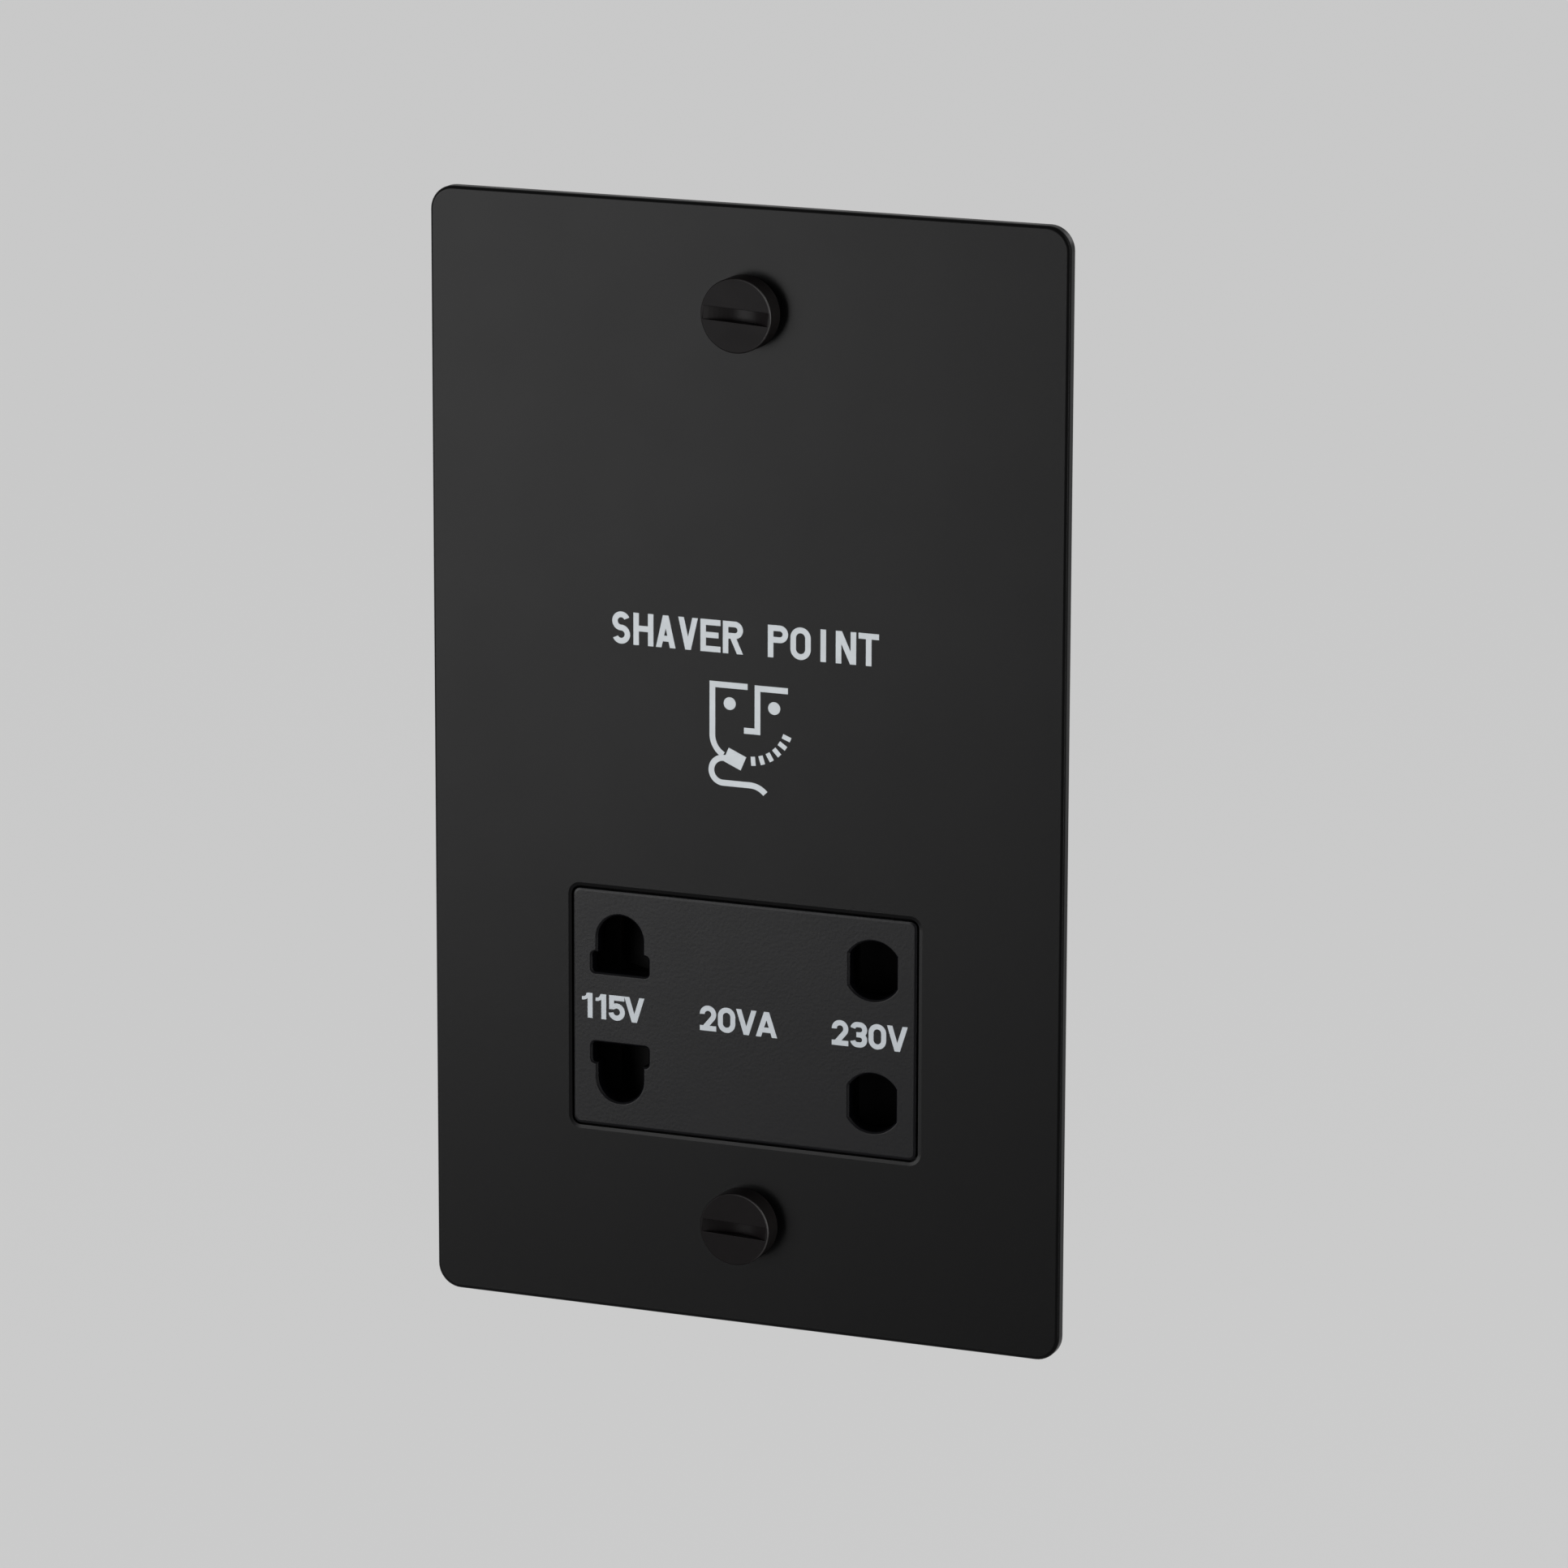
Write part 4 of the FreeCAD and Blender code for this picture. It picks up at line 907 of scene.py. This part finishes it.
@dataclass
class ShaverSymbol:
    """Standard sign of a shaver outlet: a face in outline, a shaver at its cheek and a cord."""

    surface: float
    proud: float = 0.03 * MM
    line: float = 0.79 * MM
    brow: float = 11.55 * MM
    brow_drop: float = 0.08 * MM
    brow_ends: Pair = (0.48 * MM, 6.08 * MM)
    cheek: float = -4.42 * MM
    jaw: float = 4.9 * MM
    jaw_bend: Pair = (2.98 * MM, 60.8)
    nose: float = 1.87 * MM
    nostril: float = 5.76 * MM
    chin_centre: Pair = (0.8 * MM, 7.3 * MM)
    chin_radius: float = 5.5 * MM
    stubble: Pair = (0.62 * MM, 1.2 * MM)
    stubble_from: float = -85.0
    stubble_step: float = 12.7
    stubble_count: int = 6
    eye: float = 0.84 * MM
    eyes: tuple[Pair, ...] = ((-2.0 * MM, 9.15 * MM), (4.19 * MM, 9.04 * MM))
    shaver: Pair = (2.67 * MM, 1.97 * MM)
    shaver_place: Pair = (-1.3 * MM, 1.88 * MM)
    shaver_tilt: float = -23.5
    cord_start: Pair = (-2.5 * MM, 1.9 * MM)
    cord_lead: float = 0.4 * MM
    cord_loop: float = 1.65 * MM
    cord_run: float = 3.7 * MM
    cord_tail: Pair = (3.02 * MM, -46.7)

    def build(self, wardrobe: Wardrobe) -> bpy.types.Object:
        """Draw and dress the sign.

        Args:
            wardrobe: Where the ink is.

        Returns:
            The sign.
        """
        shape = bmesh.new()
        plane = self.surface - self.proud
        pen = Pen(shape, self.line, plane)
        self._draw_face(pen)
        self._draw_stubble(shape, plane)
        self._draw_shaver(shape, plane)
        self._draw_cord(pen)
        thicken(shape, 2 * self.proud)
        piece = finished_piece("shaver_sign", shape)
        wardrobe.dress(piece, "plate_ink")
        return piece

    def _draw_face(self, pen: Pen) -> None:
        """Brows, cheek, nose and eyes.

        Args:
            pen: What draws.
        """
        half = self.line / 2
        left_end, right_end = self.brow_ends
        pen.set_down(left_end, self.brow, 180).run(left_end - self.cheek + half)
        pen.set_down(self.cheek, self.brow - half, -90).run(self.brow - half - self.jaw).bend(*self.jaw_bend)
        brow = self.brow - self.brow_drop
        pen.set_down(right_end, brow, 180).run(right_end - self.nose + half)
        pen.set_down(self.nose, brow - half, -90).run(brow - self.line - self.nostril)
        pen.set_down(self.nose + half, self.nostril, 180).run(self.nose + half)
        for x, z in self.eyes:
            pen.dot(x, z, self.eye)

    def _draw_stubble(self, shape: BMesh, plane: float) -> None:
        """Dashes along the chin, each pointing at the face's middle.

        Args:
            shape: Where the strokes go.
            plane: Height of their plane along Y.
        """
        width, length = self.stubble
        pen = Pen(shape, width, plane)
        for index in range(self.stubble_count):
            heading = self.stubble_from + index * self.stubble_step
            out = ray(math.radians(heading)) * (self.chin_radius - length / 2)
            pen.set_down(*(Vector(self.chin_centre) + out), heading).run(length)

    def _draw_shaver(self, shape: BMesh, plane: float) -> None:
        """Shaver as a tilted block.

        Args:
            shape: Where the strokes go.
            plane: Height of their plane along Y.
        """
        length, width = self.shaver
        start = Vector(self.shaver_place) - ray(math.radians(self.shaver_tilt)) * length / 2
        Pen(shape, width, plane).set_down(*start, self.shaver_tilt).run(length)

    def _draw_cord(self, pen: Pen) -> None:
        """Cord that loops under the shaver and runs off to the right."""
        pen.set_down(*self.cord_start, 180).run(self.cord_lead).bend(self.cord_loop, 180)
        pen.run(self.cord_run).bend(*self.cord_tail)


@dataclass(frozen=True)
class Glyph:
    """Letter or digit in plain bold type: a few strokes of one pen that fill a box.

    The straight letters are tables of strokes, in shares of the box: a bar's place across, an
    arm's height and its two ends, and the place across of a slant's foot and head.
    """

    pen: Pen
    left: float
    foot: float
    width: float
    height: float

    STRAIGHT = {
        "A": (("slant", 0, 0.5), ("slant", 1, 0.5), ("arm", 0.28, 0.25, 0.75)),
        "E": (("bar", 0), ("arm", 0, 0, 1), ("arm", 1, 0, 1), ("arm", 0.52, 0, 0.9)),
        "H": (("bar", 0), ("bar", 1), ("arm", 0.52, 0, 1)),
        "I": (("bar", 0.5),),
        "L": (("bar", 0), ("arm", 0, 0, 1)),
        "N": (("bar", 0), ("bar", 1), ("slant", 1, 0)),
        "T": (("bar", 0.5), ("arm", 1, 0, 1)),
        "V": (("slant", 0.5, 0), ("slant", 0.5, 1)),
    }
    LEAN = 1.1
    P_BOWL = 0.27
    R_KNEE = 0.5
    S_CURL = (25, 245)
    FLAG_WIDTH = 0.65
    FLAG_FOOT = 0.774
    FLAG_RUNS = (0.12, 0.07)
    FLAG_BEND = (0.2, 70)
    TWO_HOOK = (182, -222)
    THREE_HOOK = (165, -75)
    THREE_ARM = 0.2
    FIVE_BOWL = 0.345
    FIVE_HOOK = (140, -310)
    FIVE_WAIST = 0.44
    FIVE_INSET = 0.2

    @property
    def half(self) -> float:
        """Half of the stroke's width."""
        return self.pen.half

    @property
    def lean(self) -> float:
        """How far inside the box's side a slant ends."""
        return self.LEAN * self.half

    @property
    def right(self) -> float:
        """The box's right side."""
        return self.left + self.width

    @property
    def middle(self) -> float:
        """Halfway across the box."""
        return self.left + self.width / 2

    @property
    def top(self) -> float:
        """The box's upper side."""
        return self.foot + self.height

    def draw(self, letter: str) -> None:
        """Draw the strokes.

        Args:
            letter: Which letter or digit.
        """
        strokes = {"bar": self._bar, "arm": self._arm, "slant": self._slant}
        rounded = {"O": self._o, "P": self._p, "R": self._r, "S": self._s, "0": self._o,
                   "1": self._one, "2": self._two, "3": self._three, "5": self._five}
        for stroke, *shares in self.STRAIGHT.get(letter, ()):
            strokes[stroke](*shares)
        if letter in rounded:
            rounded[letter]()

    def _across(self, share: float, inset: float = 0.0) -> float:
        """A share of the way from side to side, or between places inset from both sides."""
        return self.left + inset + share * (self.width - 2 * inset)

    def _up(self, share: float) -> float:
        """A share of the way from the foot to the top."""
        return self.foot + share * self.height

    def _bar(self, share: float) -> None:
        """Upright stroke of full height."""
        self.pen.set_down(self._across(share, self.half), self.foot, 90).run(self.height)

    def _arm(self, height: float, start: float, end: float) -> None:
        """Level stroke, kept inside the box."""
        z = min(max(self._up(height), self.foot + self.half), self.top - self.half)
        self.pen.set_down(self._across(start), z, 0).run((end - start) * self.width)

    def _slant(self, foot: float, head: float, height: float = 1.0) -> None:
        """Slanting stroke from the foot, to the top or to a lower height."""
        ends = (self._across(foot, self.lean), self.foot), (self._across(head, self.lean), self._up(height))
        self.pen.slash(*ends)

    def _arc(self, centre: Pair, radius: float, start: float, turn: float) -> Pen:
        """Round stroke from a place on a circle, in degrees, anticlockwise where the turn is positive."""
        place = Vector(centre) + ray(math.radians(start)) * radius
        return self.pen.set_down(*place, start + math.copysign(90, turn)).bend(radius, turn)

    def _p(self) -> None:
        """Upright with a bowl at its top."""
        radius = self.P_BOWL * self.height - self.half
        reach = self.width - 2 * self.half - radius
        self._bar(0)
        self.pen.set_down(self.left + self.half, self.top - self.half, 0)
        self.pen.run(reach).bend(radius, -180).run(reach)

    def _r(self) -> None:
        """The letter P with a slanting leg."""
        self._p()
        self._slant(1, 0.5, self.R_KNEE)

    def _s(self) -> None:
        """Two bowls, the lower one turned the other way."""
        radius = self.height / 4 - self.half / 2
        start, turn = self.S_CURL
        self._arc((self.middle, self.top - self.half - radius), radius, start, turn).bend(radius, -turn)

    def _o(self) -> None:
        """Ring with straight sides."""
        radius = self.width / 2 - self.half
        side = self.height - self.width
        self.pen.set_down(self.right - self.half, self.foot + self.half + radius, 90)
        self.pen.run(side).bend(radius, 180).run(side).bend(radius, 180)

    def _one(self) -> None:
        """Upright with a fine flag that curls up to its top."""
        level, rise = self.FLAG_RUNS
        radius, turn = self.FLAG_BEND
        self._bar(1)
        fine = Pen(self.pen.shape, self.FLAG_WIDTH * 2 * self.half, self.pen.plane)
        fine.set_down(self.left, self._up(self.FLAG_FOOT), 0).run(level * self.width)
        fine.bend(radius * self.height, turn).run(rise * self.height)
        self.pen.plane = fine.plane

    def _two(self) -> None:
        """Hook that runs on as a slant, over a foot."""
        radius = self.width / 2 - self.half
        pen = self._arc((self.middle, self.top - self.half - radius), radius, *self.TWO_HOOK)
        pen.run((pen.place.y - self.foot - self.half) / -math.sin(pen.heading))
        self._arm(0, 0, 1)

    def _three(self) -> None:
        """Two wide bowls that meet in a short arm."""
        radius = self.height / 4 - self.half / 2
        level = self.width - 2 * (self.half + radius)
        arm = self.THREE_ARM * self.width
        start = (self.left + self.half + radius, self.top - self.half - radius)
        pen = self._arc(start, radius, *self.THREE_HOOK).run(level).bend(radius, -180).run(arm)
        pen.set_down(*pen.place, 0).run(arm).bend(radius, -180).run(level).bend(radius, self.THREE_HOOK[1])

    def _five(self) -> None:
        """Round bowl under a short upright and a level arm."""
        radius = self.FIVE_BOWL * self.height - self.half
        centre = (self.right - self.half - radius, self.foot + self.half + radius)
        self._arc(centre, radius, *self.FIVE_HOOK)
        inset = self.FIVE_INSET * self.half
        waist = self._up(self.FIVE_WAIST)
        self.pen.set_down(self.left + inset + self.half, waist, 90).run(self.top - waist)
        self.pen.set_down(self.left + inset, self.top - self.half, 0).run(self.width - 2 * inset)


@dataclass(frozen=True)
class Lettering:
    """Lines of printed letters of one size, as thin solids on a face of the part.

    Each line's text has the place of its middle. A letter without a width of its own takes the
    plain width, and a pair of letters without a gap of its own takes the plain gap.
    """

    name: str
    ink: str
    lines: dict[str, float]
    foot: float
    cap_height: float
    stroke: float
    width: float = 0.0
    gap: float = 0.0
    widths: dict[str, float] = field(default_factory=dict)
    gaps: dict[str, float] = field(default_factory=dict)
    proud: float = 0.03 * MM

    def build(self, surface: float, wardrobe: Wardrobe) -> bpy.types.Object:
        """Draw and dress all lines as one piece.

        Args:
            surface: Where the face lies along Y.
            wardrobe: Where the ink is.

        Returns:
            The piece.
        """
        shape = bmesh.new()
        pen = Pen(shape, self.stroke, surface - self.proud)
        for text, middle in self.lines.items():
            self._draw_line(pen, text, middle)
        thicken(shape, 2 * self.proud)
        piece = finished_piece(self.name, shape)
        wardrobe.dress(piece, self.ink)
        return piece

    def _draw_line(self, pen: Pen, text: str, middle: float) -> None:
        """Draw each letter of a line in its box.

        Args:
            pen: What draws.
            text: The letters; a space leaves its place empty.
            middle: Where the middle of the line lies.
        """
        widths = [self.widths.get(letter, self.width) for letter in text]
        gaps = [self.gaps.get(first + second, self.gap) for first, second in zip(text, text[1:])]
        place = middle - (sum(widths) + sum(gaps)) / 2
        for letter, width, gap in zip(text, widths, (*gaps, 0.0)):
            if letter != " ":
                Glyph(pen, place, self.foot, width, self.cap_height).draw(letter)
            place += width + gap


FRONT_PRINT = (
    Lettering("plate_words", "plate_ink", {"SHAVER POINT": 0.0}, foot=15.75 * MM, cap_height=4.25 * MM,
              stroke=0.76 * MM, width=2.8 * MM, gap=0.33 * MM),
    Lettering(
        "voltage_marks", "mark_ink", {"115V": -18.45 * MM, "20VA": -0.7 * MM, "230V": 17.65 * MM},
        foot=-34.77 * MM, cap_height=3.38 * MM, stroke=0.69 * MM,
        widths={"0": 2.44 * MM, "1": 1.5 * MM, "2": 2.3 * MM, "3": 2.36 * MM, "5": 2.3 * MM,
                "A": 3.02 * MM, "V": 2.9 * MM},
        gaps={"11": 0.45 * MM, "15": 0.36 * MM, "5V": -0.1 * MM, "20": 0.25 * MM, "23": 0.26 * MM,
              "30": 0.2 * MM, "0V": 0.1 * MM, "VA": -0.12 * MM},
    ),
)


@dataclass(frozen=True)
class TerminalMarks:
    """Raised letters and the earth sign by the supply terminals, read from behind."""

    stroke: float = 0.6 * MM
    size: Pair = (2.6 * MM, 3.6 * MM)
    drop: float = 12.5 * MM
    aside: float = 6.4 * MM
    proud: float = 0.3 * MM
    stem: float = 0.5
    bars: tuple[float, ...] = (1.0, 0.6, 0.22)

    def build(self, wardrobe: Wardrobe) -> bpy.types.Object:
        """Draw the marks as seen from behind, and turn them round to the housing's back.

        Args:
            wardrobe: Where the housing's plastic is.

        Returns:
            The marks.
        """
        width, height = self.size
        live, neutral, earth = (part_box(f"{wire}_terminal") for wire in ("live", "neutral", "earth"))
        shape = bmesh.new()
        pen = Pen(shape, self.stroke, -live[0].y - self.proud)
        for letter, box in (("L", live), ("N", neutral)):
            left = -(box[0].x + box[1].x + width) / 2
            Glyph(pen, left, box[0].z - self.drop, width, height).draw(letter)
        beside = self.aside - (earth[0].x + earth[1].x) / 2
        self._earth_sign(pen, beside, earth[0].z - self.drop + height)
        thicken(shape, 2 * self.proud)
        bmesh.ops.rotate(shape, verts=shape.verts, cent=(0, 0, 0), matrix=Matrix.Rotation(math.pi, 3, "Z"))
        piece = finished_piece("terminal_marks", shape)
        wardrobe.dress(piece, "housing_plastic")
        return piece

    def _earth_sign(self, pen: Pen, middle: float, top: float) -> None:
        """Stem over three bars, each shorter than the last.

        Args:
            pen: What draws.
            middle: Where the sign's middle lies.
            top: Where the stem starts.
        """
        width, height = self.size
        pen.set_down(middle, top, -90).run(self.stem * height)
        for index, share in enumerate(self.bars):
            level = top - height * (self.stem + index * (1 - self.stem) / (len(self.bars) - 1))
            pen.set_down(middle - share * width / 2, level, 0).run(share * width)


@dataclass(frozen=True)
class Lamp:
    """Soft lamp that faces the part; its power is in watts."""

    name: str
    place: Triple
    size: Pair
    power: float

    def hang(self) -> None:
        """Hang the lamp out of the camera's sight."""
        data = bpy.data.lights.new(self.name, "AREA")
        data.shape = "RECTANGLE"
        data.size, data.size_y = self.size
        data.energy = self.power
        lamp = placed(self.name, data)
        lamp.location = self.place
        lamp.rotation_euler = (-Vector(self.place)).to_track_quat("-Z", "Y").to_euler()
        lamp.visible_camera = False


@dataclass
class Studio:
    """Pale room, soft lamps and the camera of the photograph.

    The satin face mirrors the large lamp at the left, the strip lights the edges, and the third
    lamp fills the back.
    """

    aim: Triple = (4.92 * MM, 0.0, -1.2 * MM)
    yaw: float = math.radians(22.285)
    rise: float = math.radians(13.30)
    roll: float = math.radians(-0.175)
    distance: float = 1.0
    lens: float = 178.14
    sensor: float = 36.0
    clip: Pair = (0.05, 30.0)
    grey: float = 0.597
    ambient: float = 0.25
    floor_drop: float = 0.35
    floor_size: float = 14.0
    shadow_share: float = 0.12
    floor_glow: float = 1.08
    lamps: tuple[Lamp, ...] = (
        Lamp("left_softbox", (-0.763, -1.081, 0.03), (0.79, 0.784), 17.6),
        Lamp("right_strip", (1.2, -0.25, 0.1), (0.08, 2.4), 12.0),
        Lamp("back_fill", (0.7, 1.1, 0.6), (1.0, 0.8), 5.0),
    )

    def build(self) -> None:
        """Set up the room, with colours shown as they are written."""
        bpy.context.scene.view_settings.view_transform = "Standard"
        self._light_room()
        self._lay_floor()
        for lamp in self.lamps:
            lamp.hang()
        self._place_camera()

    @staticmethod
    def _seen(graph: Graph) -> Socket:
        """Mask that is 1 for rays that show the room: straight, mirrored or through glass.

        Args:
            graph: Where the mask goes.

        Returns:
            The mask.
        """
        path = graph.add("ShaderNodeLightPath").outputs
        mirrored = graph.math("MAXIMUM", path["Is Glossy Ray"], path["Is Transmission Ray"])
        return graph.math("MAXIMUM", path["Is Camera Ray"], mirrored)

    def _light_room(self) -> None:
        """Even grey all round, and a plain level of soft light."""
        world = bpy.data.worlds.new("room")
        bpy.context.scene.world = world
        world.use_nodes = True
        graph = Graph(world.node_tree)
        strength = graph.blend(self._seen(graph), self.ambient, self.grey)
        light = graph.add("ShaderNodeBackground", {"Strength": strength}).outputs[0]
        graph.add("ShaderNodeOutputWorld", {"Surface": light})

    def _lay_floor(self) -> None:
        """Pale floor that shows the room's grey and keeps a soft shadow."""
        shape = bmesh.new()
        bmesh.ops.create_grid(shape, x_segments=1, y_segments=1, size=self.floor_size / 2)
        bmesh.ops.translate(shape, verts=shape.verts, vec=(0, 0, CAD_BOX[0][2] - self.floor_drop))
        floor = placed("floor", mesh_of("floor", shape))
        material = bpy.data.materials.new("pale_floor")
        material.use_nodes = True
        graph = Graph(material.node_tree)
        grey = (self.grey, self.grey, self.grey, 1.0)
        matt = graph.add("ShaderNodeBsdfDiffuse", {"Color": grey}).outputs[0]
        glow = graph.add("ShaderNodeEmission", {"Color": grey, "Strength": self.floor_glow}).outputs[0]
        share = graph.math("MULTIPLY", self._seen(graph), 1 - self.shadow_share)
        both = graph.add("ShaderNodeMixShader", {0: share, 1: matt, 2: glow}).outputs[0]
        graph.add("ShaderNodeOutputMaterial", {"Surface": both})
        floor.data.materials.append(material)

    def _place_camera(self) -> None:
        """Look at the part as the photograph does."""
        ahead = Vector((
            -math.sin(self.yaw) * math.cos(self.rise),
            math.cos(self.yaw) * math.cos(self.rise),
            -math.sin(self.rise),
        ))
        data = bpy.data.cameras.new("camera")
        data.sensor_width = self.sensor
        data.lens = self.lens
        data.clip_start, data.clip_end = self.clip
        camera = placed("camera", data)
        upright = ahead.to_track_quat("-Z", "Y").to_matrix().to_4x4()
        place = Matrix.Translation(Vector(self.aim) - ahead * self.distance)
        camera.matrix_world = place @ upright @ Matrix.Rotation(-self.roll, 4, "Z")
        bpy.context.scene.camera = camera


def fixing_screws() -> list[CoinScrew]:
    """The two fixing screws, sized and placed by the frame.

    Returns:
        The upper and the lower screw.
    """
    low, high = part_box("fixing_screws")
    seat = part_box("front_plate")[0].y
    reach = high.z - high.x
    return [
        CoinScrew(name, height, math.radians(turn), floor_light_share, high.x, low.y, seat, high.y)
        for name, height, turn, floor_light_share in (
            # Each screw's last number is the painted light on its slot's floor
            ("upper_coin_screw", reach, 3.0, 0.45),
            ("lower_coin_screw", -reach, 2.0, 0.1),
        )
    ]


def main() -> None:
    """Dress the frame, add the pieces that the frame lacks and set up the studio."""
    logging.basicConfig(level=logging.INFO, format="%(message)s")
    wardrobe = Wardrobe()
    wardrobe.dress_frame()
    for screw in fixing_screws():
        screw.build(wardrobe)
    plate_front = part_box("front_plate")[0].y
    ShaverSymbol(plate_front).build(wardrobe)
    for lettering in FRONT_PRINT:
        lettering.build(plate_front, wardrobe)
    TerminalMarks().build(wardrobe)
    Studio().build()


if __name__ == "__main__":
    main()
